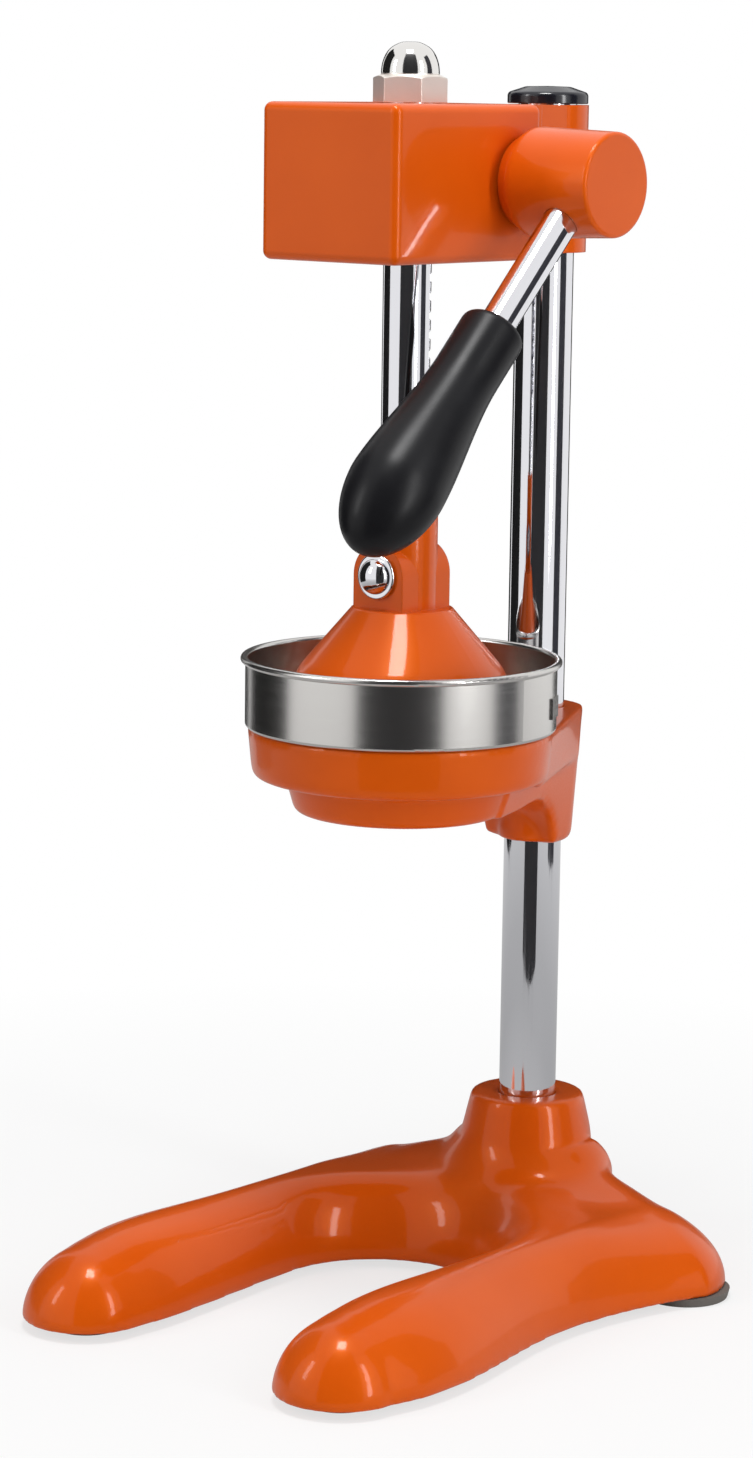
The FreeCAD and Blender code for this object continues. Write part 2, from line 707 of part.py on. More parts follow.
def reamer_cone():
    base_z = reamer_seat_z()
    body = reamer_body(0, base_z)
    fins = []
    half = reamer_rib_thickness / 2
    for k in range(reamer_rib_count // 2):
        fin = box(V(-reamer_radius * 2, -half, base_z),
                  V(reamer_radius * 2, half, base_z + reamer_height * 0.97))
        fin.rotate(V(0, 0, 0), V(0, 0, 1), 360 * k / reamer_rib_count)
        fin.translate(V(0, press_y, 0))
        fins.append(fin)
    ribs = fins[0].multiFuse(fins[1:]).common(reamer_body(reamer_rib_height, base_z))
    hollow_height = reamer_height * 0.7
    foot = reamer_radius - reamer_wall
    axis = V(0, press_y, 0)
    hollow = turned([(0, base_z - 1, 0), (foot, base_z - 1, 0), (foot, base_z + 2, 0),
                     (reamer_radius_at(0.7) - reamer_wall - 1.5, base_z + hollow_height, 3.0),
                     (0, base_z + hollow_height, 0)], axis)
    collar_end = base_z + hollow_height + 1
    collar = ring(reamer_collar_radius, reamer_screw_radius + seat_fit, axis + V(0, 0, base_z),
                  axis + V(0, 0, collar_end))
    drill = cylinder(reamer_screw_radius + seat_fit, axis + V(0, 0, base_z - 1),
                     axis + V(0, 0, collar_end - 8))
    return fuse([body.fuse(ribs).cut(hollow), collar]).cut(drill)


def reamer_screw():
    head_height = 2.0
    start = V(0, press_y, basket_floor_z - basket_step - head_height)
    return pan_screw(start, V(0, 0, 1), reamer_screw_radius, 16.0, 4.8, head_height)


# Press cone and its bolt

def press_cone():
    axis = V(0, press_y, 0)
    waist_z = cone_foot_z + cone_waist_height
    outside = turned([
        (0, cone_foot_z, 0), (cone_foot_radius, cone_foot_z, 1.5),
        (cone_waist_radius, waist_z, cone_waist_round),
        (cone_top_radius, shoulder_z, 1.2), (press_sleeve_radius, shoulder_z, 0),
        (press_sleeve_radius, press_sleeve_top_z, 1.5), (0, press_sleeve_top_z, 0),
    ], axis)
    lug = cylinder(lug_half_width, V(0, press_y - lug_front, lug_z), V(0, press_y + lug_rear, lug_z))
    skirt = box(V(-lug_half_width, press_y - lug_front, shoulder_z - cone_wall),
                V(lug_half_width, press_y + lug_rear, lug_z))
    body = fuse([outside, lug, skirt])
    side_wall = cone_wall * 1.3
    hollow = turned([
        (0, cone_foot_z - 1, 0), (cone_foot_radius - cone_wall, cone_foot_z - 1, 0),
        (cone_waist_radius - side_wall, waist_z, cone_waist_round),
        (cone_top_radius - side_wall + cone_wall, shoulder_z - cone_wall, 3.0),
        (0, shoulder_z - cone_wall, 0),
    ], axis)
    bore = cylinder(rack_radius + seat_fit, V(0, press_y, rack_foot_z()),
                    V(0, press_y, press_sleeve_top_z + 1))
    front = V(0, press_y - lug_front - 1, lug_z)
    drill = cylinder(press_bolt_radius + thread_fit, front, V(0, press_y + lug_rear + 1, lug_z))
    return body.cut(hollow.multiFuse([bore, drill]))


def rack_foot_z():
    return shoulder_z + lug_rise - rack_seat


def press_bolt():
    seat = V(0, press_y - lug_front - press_washer_thickness, lug_z)
    dome = press_bolt_dome_height
    radius = press_bolt_dome_radius
    curve = Part.BSplineCurve()
    bulge = [seat + V(0, -dome * math.sin(t), radius * math.cos(t)) for t in (0, 0.4, 0.8, 1.2, math.pi / 2)]
    curve.interpolate(bulge)
    foot = Part.makeLine(seat, bulge[0])
    axis = Part.makeLine(seat, bulge[-1])
    head = Part.Face(Part.Wire(Part.__sortEdges__([foot, curve.toShape(), axis]))).revolve(seat, V(0,
        1, 0), 360)
    nut_end = V(0, press_y + lug_rear + press_nut_height + 1.5, lug_z)
    return fuse([head, cylinder(press_bolt_radius, seat, nut_end)])


def press_bolt_washer():
    front = V(0, press_y - lug_front - press_washer_thickness, lug_z)
    back = V(0, press_y - lug_front, lug_z)
    corners = [(0, press_bolt_radius + thread_fit, 0), (0, press_washer_radius, 0.9),
               (press_washer_thickness, press_washer_radius, 0),
               (press_washer_thickness, press_bolt_radius + thread_fit, 0)]
    return turned_on(corners, front, (back - front).normalize())


def press_bolt_nut():
    start = V(0, press_y + lug_rear, lug_z)
    end = start + V(0, press_nut_height, 0)
    hole = cylinder(press_bolt_radius + seat_fit, start - V(0, 1, 0), end + V(0, 1, 0))
    return chamfered_hexagon(press_nut_flats, start, end, 0.0, 0.8).cut(hole)


def chamfered_hexagon(across_flats, start, end, bearing, chamfer):
    """Hexagon prism whose far corners are turned off."""
    direction = (end - start).normalize()
    length = (end - start).Length
    corner_radius = across_flats / math.sqrt(3)
    slope = (corner_radius - across_flats / 2) + chamfer
    envelope = turned_on([(0, 0, 0), (0, corner_radius + 0.2, 0), (length - chamfer, corner_radius + 0.2, 0),
                          (length, corner_radius - slope, 0), (length, 0, 0)], start, direction)
    return hexagon(across_flats, start, end, bearing).common(envelope)


# Rack

def toothed_rack():
    top = head_top_z
    foot = V(0, press_y, rack_foot_z())
    rod = cylinder(rack_radius, foot, V(0, press_y, top + slide_fit * 4))
    stud = cylinder(rack_stud_radius, V(0, press_y, top), V(0, press_y, top + rack_stud_height))
    below = math.ceil((travel + pinion_tip_radius * 0.7) / tooth_pitch)
    above = int((top - shaft_z - 4.0) / tooth_pitch)
    half_pitch = tooth_pitch / 2
    flat_low = shaft_z - (below + 0.5) * tooth_pitch
    flat_high = shaft_z + (above + 0.5) * tooth_pitch
    cuts = [box(V(-rack_radius, press_y + rack_flat, flat_low),
                V(rack_radius, press_y + rack_radius + 1, flat_high))]
    root = rack_flat - 2.25 * module
    slope = math.tan(pressure_angle)
    mid_half = half_pitch / 2 + tooth_backlash / 2
    for k in range(-below, above + 1):
        z = shaft_z + k * tooth_pitch
        tip_half = mid_half + slope * (rack_flat + 0.5 - rack_pitch_line)
        root_half = mid_half - slope * (rack_pitch_line - root)
        points = [V(-rack_radius - 1, press_y + rack_flat + 0.5, z - tip_half),
                  V(-rack_radius - 1, press_y + rack_flat + 0.5, z + tip_half),
                  V(-rack_radius - 1, press_y + root, z + root_half),
                  V(-rack_radius - 1, press_y + root, z - root_half)]
        cuts.append(Part.Face(Part.makePolygon(points + points[:1])).extrude(V(2 * rack_radius + 2, 0, 0)))
    hole = cylinder(press_bolt_radius + thread_fit, V(0, press_y - rack_radius - 1, lug_z),
                    V(0, press_y + rack_radius + 1, lug_z))
    return fuse([rod, stud]).cut(cuts[0].multiFuse(cuts[1:] + [hole]))


def acorn_nut():
    seat = V(0, press_y, head_top_z + slide_fit * 4)
    hex_top = seat + V(0, 0, nut_hex_height)
    body = chamfered_hexagon(nut_flats, seat, hex_top, nut_bearing, nut_chamfer)
    points = []
    for k in range(6):
        t = math.pi / 2 * k / 5
        points.append(hex_top + V(nut_dome_radius * math.cos(t) ** 0.8, 0,
                                  nut_dome_height * math.sin(t) ** 0.9))
    points[-1] = hex_top + V(0, 0, nut_dome_height)
    curve = Part.BSplineCurve()
    curve.interpolate(Points=points, InitialTangent=V(0, 0, 1), FinalTangent=V(-1, 0, 0))
    foot = Part.makeLine(hex_top, points[0])
    axis = Part.makeLine(hex_top, points[-1])
    face = Part.Face(Part.Wire(Part.__sortEdges__([foot, curve.toShape(), axis])))
    dome = face.revolve(hex_top, V(0, 0, 1), 360)
    thread = cylinder(rack_stud_radius + seat_fit, seat - V(0, 0, 1), seat + V(0, 0, rack_stud_height + 1.5))
    return fuse([body, dome]).cut(thread)


# Pinion, shaft and keys

def pinion_gear():
    """Spur gear with involute flanks and one tooth pointing at the rack."""
    base_radius = pitch_radius * math.cos(pressure_angle)
    flank_start = max(base_radius, pinion_root_radius)
    pitch_half = math.pi / (2 * pinion_teeth) - tooth_backlash / (2 * pitch_radius)

    def involute(angle):
        return math.tan(angle) - angle

    def flank(radius):
        return pitch_half + involute(pressure_angle) - involute(math.acos(min(1.0, base_radius / radius)))

    def point(radius, angle):
        return V(-pinion_width / 2, shaft_y - radius * math.cos(angle), shaft_z + radius * math.sin(angle))

    edges = []
    pitch_angle = 2 * math.pi / pinion_teeth
    radii = [flank_start + (pinion_tip_radius - flank_start) * k / 4 for k in range(5)]
    for tooth in range(pinion_teeth):
        middle = tooth * pitch_angle
        rising = [point(r, middle - flank(r)) for r in radii]
        falling = [point(r, middle + flank(r)) for r in reversed(radii)]
        root_half = flank(flank_start)
        root_in = point(pinion_root_radius, middle - root_half)
        root_out = point(pinion_root_radius, middle + root_half)
        next_in = point(pinion_root_radius, middle + pitch_angle - root_half)
        valley = point(pinion_root_radius, middle + pitch_angle / 2)
        edges.append(Part.makeLine(root_in, rising[0]))
        for side in (rising, falling):
            curve = Part.BSplineCurve()
            curve.interpolate(side)
            edges.append(curve.toShape())
            if side is rising:
                edges.append(Part.Arc(rising[-1], point(pinion_tip_radius, middle), falling[0]).toShape())
        edges.append(Part.makeLine(falling[-1], root_out))
        edges.append(Part.Arc(root_out, valley, next_in).toShape())
    blank = Part.Face(Part.Wire(Part.__sortEdges__(edges))).extrude(V(pinion_width, 0, 0))
    bore = cylinder(shaft_radius + seat_fit, V(-pinion_width, shaft_y, shaft_z),
                    V(pinion_width, shaft_y, shaft_z))
    return blank.cut(bore.fuse(keyway(-pinion_width, pinion_width)))


def keyway(x_start, x_end):
    """Room for a key in what the shaft carries."""
    half = key_width / 2 + seat_fit
    top = shaft_z + shaft_radius + key_stand + seat_fit
    return box(V(x_start, shaft_y - half, shaft_z), V(x_end, shaft_y + half, top))


def shaft_key(x_start, x_end):
    half = key_width / 2
    low = V(x_start, shaft_y - half, shaft_z + shaft_radius - key_depth)
    return box(low, V(x_end, shaft_y + half, shaft_z + shaft_radius + key_stand))


def pinion_key_span():
    return -pinion_width / 2 + 1, pinion_width / 2 - 1


def hub_key_span():
    return hub_inner_x + 3, lever_x - rod_radius - 3


def shaft_left_x():
    return -head_half_width - face_gap


def pinion_shaft():
    right = hub_outer_x - hub_face_wall - 1
    shaft = cylinder(shaft_radius, V(shaft_left_x(), shaft_y, shaft_z), V(right, shaft_y, shaft_z))
    cuts = []
    for start, end in (pinion_key_span(), hub_key_span()):
        low = V(start, shaft_y - key_width / 2 - seat_fit, shaft_z + shaft_radius - key_depth)
        cuts.append(box(low, V(end, shaft_y + key_width / 2 + seat_fit, shaft_z + shaft_radius + 1)))
    left = V(shaft_left_x() - 1, shaft_y, shaft_z)
    cuts.append(cylinder(end_screw_radius + seat_fit, left, left + V(end_screw_length + 3, 0, 0)))
    return shaft.cut(cuts[0].multiFuse(cuts[1:]))


def shaft_end_washer():
    outer = V(shaft_left_x() - end_washer_thickness, shaft_y, shaft_z)
    inner = V(shaft_left_x(), shaft_y, shaft_z)
    return ring(end_washer_radius, end_screw_radius + thread_fit, outer, inner)


def shaft_end_screw():
    start = V(shaft_left_x() - end_washer_thickness - end_screw_head_height, shaft_y, shaft_z)
    return pan_screw(start, V(1, 0, 0), end_screw_radius, end_screw_length, end_screw_head,
                     end_screw_head_height)


def shaft_bush(side):
    inner = V(side * (head_half_width - head_side_wall), shaft_y, shaft_z)
    outer = V(side * head_half_width, shaft_y, shaft_z)
    return ring(shaft_radius + shaft_bush_wall, shaft_radius + slide_fit, inner, outer)


def rack_bush(start_z):
    low = V(0, press_y, start_z)
    high = V(0, press_y, start_z + bush_length)
    return ring(rack_radius + bush_wall, rack_radius + slide_fit, low, high)


# Head casting and its cover plate

def pinion_room():
    """Space that the turning pinion needs."""
    reach = pocket_half_width
    return cylinder(pinion_tip_radius + pocket_gap, V(-reach, shaft_y, shaft_z), V(reach, shaft_y, shaft_z))


def cover_outline(gap):
    """Cover plate's outline, drawn in by gap."""
    half = head_half_width - head_side_wall + cover_ledge - gap
    tongue = pocket_half_width + 3.0 - gap
    front = press_y - head_front + head_front_wall - cover_ledge + gap
    rear = press_y + head_rear - head_front_wall + cover_ledge - gap
    tongue_end = shaft_y + pinion_tip_radius + pocket_gap + 3.0 - gap
    return [(-half, front, 2.0), (half, front, 2.0), (half, rear, 2.0), (tongue, rear, 0),
            (tongue, tongue_end, 2.0),
            (-tongue, tongue_end, 2.0), (-tongue, rear, 0), (-half, rear, 2.0)]


def cover_block(gap, low_z, high_z):
    wire = rounded_wire(cover_outline(gap), lambda p: V(p.x, p.y, low_z))
    return Part.Face(wire).extrude(V(0, 0, high_z - low_z))


def post_places():
    half = head_half_width - head_side_wall - 1.5
    front = press_y - head_front + head_front_wall + 1.5
    rear = press_y + head_rear - head_front_wall - 1.5
    return [V(x, y, 0) for x in (-half, half) for y in (front, rear)]


def head_casting():
    front = press_y - head_front
    rear = press_y + head_rear
    block = box(V(-head_half_width, front, head_bottom_z), V(head_half_width, rear, head_top_z))
    block = block.makeFillet(head_edge_radius, block.Edges)
    neck = box(V(-neck_half_width, rear - 2 * head_edge_radius, head_bottom_z + 1.0),
               V(neck_half_width, shaft_y + pinion_tip_radius + pocket_gap + 6.0, head_top_z - 0.4))
    boss_low = V(0, column_y, head_bottom_z + 1.0)
    boss = cylinder(head_boss_radius, boss_low, V(0, column_y, head_top_z - 0.4))
    bridge = box(V(-head_boss_radius + 1.5, rear, head_bottom_z + 1.0),
                 V(head_boss_radius - 1.5, column_y, head_top_z - 0.4))
    body = fuse([block, neck, boss, bridge])
    inner_half = head_half_width - head_side_wall
    cavity_front = front + head_front_wall
    cavity_rear = rear - head_front_wall
    cavity = box(V(-inner_half, cavity_front, head_bottom_z - 1), V(inner_half, cavity_rear, cavity_top_z))
    pocket_rear = shaft_y + pinion_tip_radius + pocket_gap
    pocket = box(V(-pocket_half_width, cavity_rear - 1, head_bottom_z - 1),
                 V(pocket_half_width, pocket_rear, cavity_top_z))
    body = body.cut(cavity.fuse(pocket))
    cover_top = head_bottom_z + cover_thickness
    posts = [cylinder(post_radius, p + V(0, 0, cover_top),
                      p + V(0, 0, cavity_top_z + 1)) for p in post_places()]
    guide_low = head_top_z - bush_length
    guide = cylinder(rack_radius + bush_wall + 3.0, V(0, press_y, guide_low), V(0, press_y, cavity_top_z + 1))
    body = fuse([body, guide.cut(pinion_room())] + posts)
    cuts = [cover_block(0, head_bottom_z - 1, cover_top)]
    bush_hole = rack_radius + bush_wall + seat_fit
    cuts.append(cylinder(bush_hole, V(0, press_y, guide_low - 1), V(0, press_y, head_top_z + 1)))
    side_hole = shaft_radius + shaft_bush_wall + seat_fit
    reach = head_half_width + 1
    cuts.append(cylinder(side_hole, V(-reach, shaft_y, shaft_z), V(reach, shaft_y, shaft_z)))
    cuts.append(cylinder(column_radius + seat_fit, boss_low - V(0, 0, 2), V(0, column_y, head_top_z + 1)))
    for z in head_screw_levels():
        cuts.append(cylinder(set_screw_radius + seat_fit, V(0, column_y, z),
                             V(0, column_y + head_boss_radius + 2, z)))
    for p in post_places():
        start = p + V(0, 0, head_bottom_z)
        cuts.append(cylinder(cover_screw_radius + seat_fit, start,
                             start + V(0, 0, cover_thickness + cover_screw_length)))
    return body.cut(cuts[0].multiFuse(cuts[1:]))


def head_cover_plate():
    top = head_bottom_z + cover_thickness
    plate = cover_block(plate_fit, head_bottom_z, top)
    guide = cylinder(rack_radius + bush_wall + 3.0, V(0, press_y, head_bottom_z),
                     V(0, press_y, head_bottom_z + bush_length))
    body = fuse([plate, guide.cut(pinion_room())])
    bush_hole = rack_radius + bush_wall + seat_fit
    cuts = [cylinder(bush_hole, V(0, press_y, head_bottom_z - 1),
                     V(0, press_y, head_bottom_z + bush_length + 1))]
    for p in post_places():
        cuts.append(cylinder(cover_screw_radius + thread_fit, p + V(0, 0, head_bottom_z - 1),
                             p + V(0, 0, top + 1)))
        cuts.append(cylinder(cover_screw_head + 0.3, p + V(0, 0, head_bottom_z - 1),
                             p + V(0, 0, cover_screw_seat_z())))
    return body.cut(cuts[0].multiFuse(cuts[1:]))


def cover_screw_seat_z():
    return head_bottom_z + cover_screw_sink + cover_screw_head_height


def cover_screws():
    screws = []
    for p in post_places():
        start = p + V(0, 0, cover_screw_seat_z() - cover_screw_head_height)
        screws.append(pan_screw(start, V(0, 0, 1), cover_screw_radius, cover_screw_length,
                                cover_screw_head, cover_screw_head_height))
    return Part.makeCompound(screws)


def head_screw_levels():
    return head_bottom_z + head_height / 4, head_bottom_z + 3 * head_height / 4


def head_set_screws():
    outer = column_y + head_boss_radius
    return Part.makeCompound([set_screw(z, outer) for z in head_screw_levels()])


# Lever

def thrust_washer():
    inner = V(head_half_width, shaft_y, shaft_z)
    outer = V(head_half_width + washer_thickness, shaft_y, shaft_z)
    return ring(thrust_washer_radius, shaft_radius + 2 * slide_fit, inner, outer)


def lever_hub():
    start = V(hub_inner_x, shaft_y, shaft_z)
    body = turned_on([(0, 0, 0), (hub_length, 0, 0), (hub_length, hub_end_radius, hub_edge_radius),
                      (hub_shoulder, hub_radius, hub_shoulder_round),
                      (0, hub_neck_radius, 0.8)], start, V(1, 0, 0))
    bore_end = V(hub_outer_x - hub_face_wall, shaft_y, shaft_z)
    cuts = [cylinder(shaft_radius + seat_fit, start - V(1, 0, 0), bore_end)]
    cuts.append(keyway(hub_inner_x - 1, hub_key_span()[1]))
    socket_start = hub_centre + lever_direction * (hub_radius - rod_socket_depth)
    cuts.append(cylinder(rod_radius + seat_fit, socket_start,
                         hub_centre + lever_direction * (hub_radius + 2)))
    cuts.append(cylinder(rod_stud_radius + seat_fit, hub_centre, socket_start + lever_direction))
    return body.cut(cuts[0].multiFuse(cuts[1:]))


def lever_rod():
    start = hub_centre + lever_direction * (hub_radius - rod_socket_depth)
    rod = cylinder(rod_radius, start, start + lever_direction * rod_length)
    stud = cylinder(rod_stud_radius, hub_centre + lever_direction * (shaft_radius + seat_fit), start)
    return fuse([rod, stud])


def grip_radius_points():
    """Grip's outline as (distance from its top, radius), top to bottom."""
    swell = grip_bulb_radius - grip_neck_radius
    widest = grip_length - grip_end_length
    points = [(0.25 * grip_mouth_length, grip_neck_radius - 1.2), (grip_mouth_length, grip_neck_radius)]
    for k in range(1, 6):
        share = k / 5
        distance = grip_swell_start + (widest - grip_swell_start) * share
        points.append((distance, grip_neck_radius + swell * math.sin(math.pi / 2 * share ** 2)))
    for k in range(1, 5):
        turn = math.radians(20 * k)
        points.append((widest + grip_end_length * math.sin(turn), grip_bulb_radius * math.cos(turn)))
    return points + [(grip_length, 0.0)]


def lever_grip():
    start = hub_centre + lever_direction * grip_start
    across = lever_direction.cross(V(1, 0, 0))
    points = [start + lever_direction * d + across * r for d, r in grip_radius_points()]
    curve = Part.BSplineCurve()
    curve.interpolate(Points=points, InitialTangent=across + lever_direction * 0.3, FinalTangent=across * -1)
    top_end = start + across * (rod_radius + 0.5)
    edges = [
        Part.makeLine(start, top_end),
        Part.makeLine(top_end, points[0]),
        curve.toShape(),
        Part.makeLine(points[-1], start),
    ]
    face = Part.Face(Part.Wire(Part.__sortEdges__(edges)))
    body = face.revolve(start, lever_direction, 360)
    hole_end = start + lever_direction * (grip_length - grip_end_wall)
    return body.cut(cylinder(rod_radius + seat_fit, start - lever_direction, hole_end))


# Everything together

def sub_parts():
    shapes = {
        "base_casting": base_casting(),
        "foot_screws": foot_screws(),
        "column_tube": column_tube(),
        "base_clamp_bolt": base_clamp_bolt(),
        "column_cap": column_cap(),
        "bowl_bracket": bowl_bracket(),
        "bracket_set_screw": bracket_set_screw(),
        "strainer_basket": strainer_basket(),
        "reamer_cone": reamer_cone(),
        "reamer_screw": reamer_screw(),
        "head_casting": head_casting(),
        "head_cover_plate": head_cover_plate(),
        "cover_screws": cover_screws(),
        "head_set_screws": head_set_screws(),
        "upper_rack_bush": rack_bush(head_top_z - bush_length),
        "lower_rack_bush": rack_bush(head_bottom_z),
        "left_shaft_bush": shaft_bush(-1),
        "right_shaft_bush": shaft_bush(1),
        "thrust_washer": thrust_washer(),
        "toothed_rack": toothed_rack(),
        "acorn_nut": acorn_nut(),
        "press_cone": press_cone(),
        "press_bolt": press_bolt(),
        "press_bolt_washer": press_bolt_washer(),
        "press_bolt_nut": press_bolt_nut(),
        "pinion_gear": pinion_gear(),
        "pinion_key": shaft_key(*pinion_key_span()),
        "pinion_shaft": pinion_shaft(),
        "shaft_end_washer": shaft_end_washer(),
        "shaft_end_screw": shaft_end_screw(),
        "hub_key": shaft_key(*hub_key_span()),
        "lever_hub": lever_hub(),
        "lever_rod": lever_rod(),
        "lever_grip": lever_grip(),
    }
    for name, (centre, radius) in foot_places().items():
        shapes["foot_" + name] = rubber_foot(centre, radius)
    return shapes


os.makedirs("parts", exist_ok=True)
for name, shape in sub_parts().items():
    shape.exportStep("parts/" + name + ".step")
    print(name, len(shape.Solids), "solids", round(shape.Volume), "mm3", shape.isValid())
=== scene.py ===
# %% [markdown]
# # A lever citrus juice press
# The press is mostly painted castings and chromed steel. Its exact shapes come from the packed
# frame. Blender adds what the frame can't: soft casting blends, moulded and ribbed surfaces,
# and materials that look like enamel, chrome, spun steel and moulded plastic.
# The first step loads the frame and notes its box, because the dressed press has to stay inside it.

# %% The frame
import json
import math
import bmesh
import bpy
from mathutils import Matrix, Vector


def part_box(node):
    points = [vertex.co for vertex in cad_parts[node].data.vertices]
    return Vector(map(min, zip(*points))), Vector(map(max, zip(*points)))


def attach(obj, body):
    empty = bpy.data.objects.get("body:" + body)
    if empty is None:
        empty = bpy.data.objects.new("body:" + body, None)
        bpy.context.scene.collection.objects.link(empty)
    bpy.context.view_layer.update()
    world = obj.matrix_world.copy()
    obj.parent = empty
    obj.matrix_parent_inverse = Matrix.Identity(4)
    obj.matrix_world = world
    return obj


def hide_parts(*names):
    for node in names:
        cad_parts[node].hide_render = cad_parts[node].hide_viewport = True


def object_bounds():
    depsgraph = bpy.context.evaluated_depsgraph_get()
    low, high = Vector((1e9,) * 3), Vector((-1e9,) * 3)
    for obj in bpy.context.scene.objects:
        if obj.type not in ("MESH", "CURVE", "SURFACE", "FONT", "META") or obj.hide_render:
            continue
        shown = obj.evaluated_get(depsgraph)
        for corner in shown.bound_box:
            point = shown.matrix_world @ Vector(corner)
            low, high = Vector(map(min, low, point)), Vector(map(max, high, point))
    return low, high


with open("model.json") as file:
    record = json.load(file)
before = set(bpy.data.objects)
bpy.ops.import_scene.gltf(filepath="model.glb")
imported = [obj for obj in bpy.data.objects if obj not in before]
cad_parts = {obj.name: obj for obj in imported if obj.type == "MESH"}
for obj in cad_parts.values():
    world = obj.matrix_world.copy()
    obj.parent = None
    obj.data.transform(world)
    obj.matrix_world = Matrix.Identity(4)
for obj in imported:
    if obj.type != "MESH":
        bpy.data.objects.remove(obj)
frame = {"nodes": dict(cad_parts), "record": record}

cad_box = [list(corner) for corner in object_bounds()]
nodes = frame["nodes"]
mm = 0.001
press_height = cad_box[1][2] - cad_box[0][2]
print("loaded", len(nodes), "nodes,", round(press_height / mm), "mm high")

# %% [markdown]
# ## The camera
# A camera is a place, three directions and a lens. The place and the directions were solved from
# the outlines of the column, the strainer and the base, so the render and the photograph match.
# The picture is upright, so the lens is given for the sensor's height.

# %% Camera
camera_place = Vector((1.02996, -1.22229, 0.51789))
camera_right = Vector((0.76187, 0.64758, 0.01395))
camera_up = Vector((-0.11805, 0.11764, 0.98601))
sensor_height = 36.0
focal_length = 96.06

camera_data = bpy.data.cameras.new("camera")
camera_data.sensor_fit = "VERTICAL"
camera_data.sensor_height = sensor_height
camera_data.lens = focal_length
camera = bpy.data.objects.new("camera", camera_data)
camera_back = camera_right.cross(camera_up).normalized()
axes = Matrix((camera_right, camera_back.cross(camera_right), camera_back)).transposed()
camera.matrix_world = Matrix.Translation(camera_place) @ axes.to_4x4()
bpy.context.scene.collection.objects.link(camera)
bpy.context.scene.camera = camera
bpy.context.scene.view_settings.view_transform = "Standard"
print("camera", [round(v, 3) for v in camera_place], "lens", focal_length, "mm")

# %% [markdown]
# ## Three small helpers
# Every material and every Geometry Nodes tree is made of nodes with some settings and some links.
# One function adds a node, whatever its kind. A second one turns the usual web colours, which are
# stored for a screen, into the linear light that a shader works in. A third one starts a material.
# Nearly all values of a noise texture lie between 0.3 and 0.7, so most maps from noise to gloss use
# that spread.


# %% Helpers
def add(tree, kind, inputs=None, **settings):
    """A new node. Inputs are numbers, or the sockets of other nodes to link from."""
    node = tree.nodes.new(kind)
    for name, value in settings.items():
        setattr(node, name, value)
    for name, value in (inputs or {}).items():
        if isinstance(value, bpy.types.NodeSocket):
            tree.links.new(value, node.inputs[name])
        else:
            node.inputs[name].default_value = value
    return node


def linear(web_colour):
    """A colour such as D2500F as linear red, green, blue and alpha."""
    parts = [int(web_colour[k:k + 2], 16) / 255 for k in (0, 2, 4)]
    return [p / 12.92 if p <= 0.04045 else ((p + 0.055) / 1.055) ** 2.4 for p in parts] + [1.0]


def new_material(name):
    """An empty material with its tree, its shader and its place on the object."""
    material = bpy.data.materials.new(name)
    material.use_nodes = True
    tree = material.node_tree
    tree.nodes.clear()
    shader = add(tree, "ShaderNodeBsdfPrincipled")
    add(tree, "ShaderNodeOutputMaterial", {"Surface": shader.outputs[0]})
    place = add(tree, "ShaderNodeTexCoord").outputs["Object"]
    return material, tree, shader, place


noise_spread = {"From Min": 0.3, "From Max": 0.7}
print("orange as linear light:", [round(v, 3) for v in linear("D2500F")])

# %% [markdown]
# ## Gloss enamel on die-cast aluminium
# The castings are sprayed with orange enamel and baked. Enamel is a coloured layer under a clear,
# nearly smooth one. So the shader has a fairly rough orange base and a sharp coat over it.
# Baked enamel is never quite flat: it has a faint ripple, known as orange peel, about 2 mm across.
# Its colour gets a little deeper where it has run thicker, in patches of some centimetres.
# Cast edges are rounded by the paint, which the Bevel node shows in the light on them. The wide
# highlights in the photograph are a pale orange, so the base's reflections are tinted.

# %% Enamel
enamel_edge = 0.9 * mm
peel_pitch = 2.2 * mm
peel_depth = 0.012 * mm
patch_pitch = 45 * mm
dust_pitch = 0.7 * mm
dust_low = 0.35
dust_high = 0.75
base_roughness = (0.3, 0.38)
coat_weight = 0.3
coat_roughness = 0.06

enamel, tree, shader, place = new_material("orange_gloss_enamel")
patches = add(tree, "ShaderNodeTexNoise", {"Vector": place, "Scale": 1 / patch_pitch, "Detail": 3.0})
tint = add(tree, "ShaderNodeMix", {"Factor": patches.outputs[0], "A": linear("CA4D05"),
                                   "B": linear("D8590A")}, data_type="RGBA")
dust = add(tree, "ShaderNodeTexNoise", {"Vector": place, "Scale": 1 / dust_pitch, "Detail": 2.0})
gloss = add(tree, "ShaderNodeMapRange", {"Value": dust.outputs[0], "From Min": dust_low,
                                         "From Max": dust_high, "To Min": base_roughness[0],
                                         "To Max": base_roughness[1]})
edge = add(tree, "ShaderNodeBevel", {"Radius": enamel_edge}, samples=4)
peel = add(tree, "ShaderNodeTexNoise", {"Vector": place, "Scale": 1 / peel_pitch, "Detail": 1.0})
ripple = add(tree, "ShaderNodeBump", {"Height": peel.outputs[0], "Distance": peel_depth, "Strength": 1.0,
                                      "Normal": edge.outputs[0]})
tree.links.new(tint.outputs["Result"], shader.inputs["Base Color"])
tree.links.new(gloss.outputs[0], shader.inputs["Roughness"])
tree.links.new(ripple.outputs[0], shader.inputs["Normal"])
tree.links.new(ripple.outputs[0], shader.inputs["Coat Normal"])
shader.inputs["Specular Tint"].default_value = linear("FF9440")
shader.inputs["Coat Weight"].default_value = coat_weight
shader.inputs["Coat Roughness"].default_value = coat_roughness
print("made", enamel.name)

# %% [markdown]
# ## Chrome plate on steel tube and bar
# Chrome is a thin mirror over polished steel. What it shows is the room, so most of its look comes
# from the lights and dark boards further down. The surface itself has faint rub marks from the
# polishing, and a few pits that are duller than the rest.

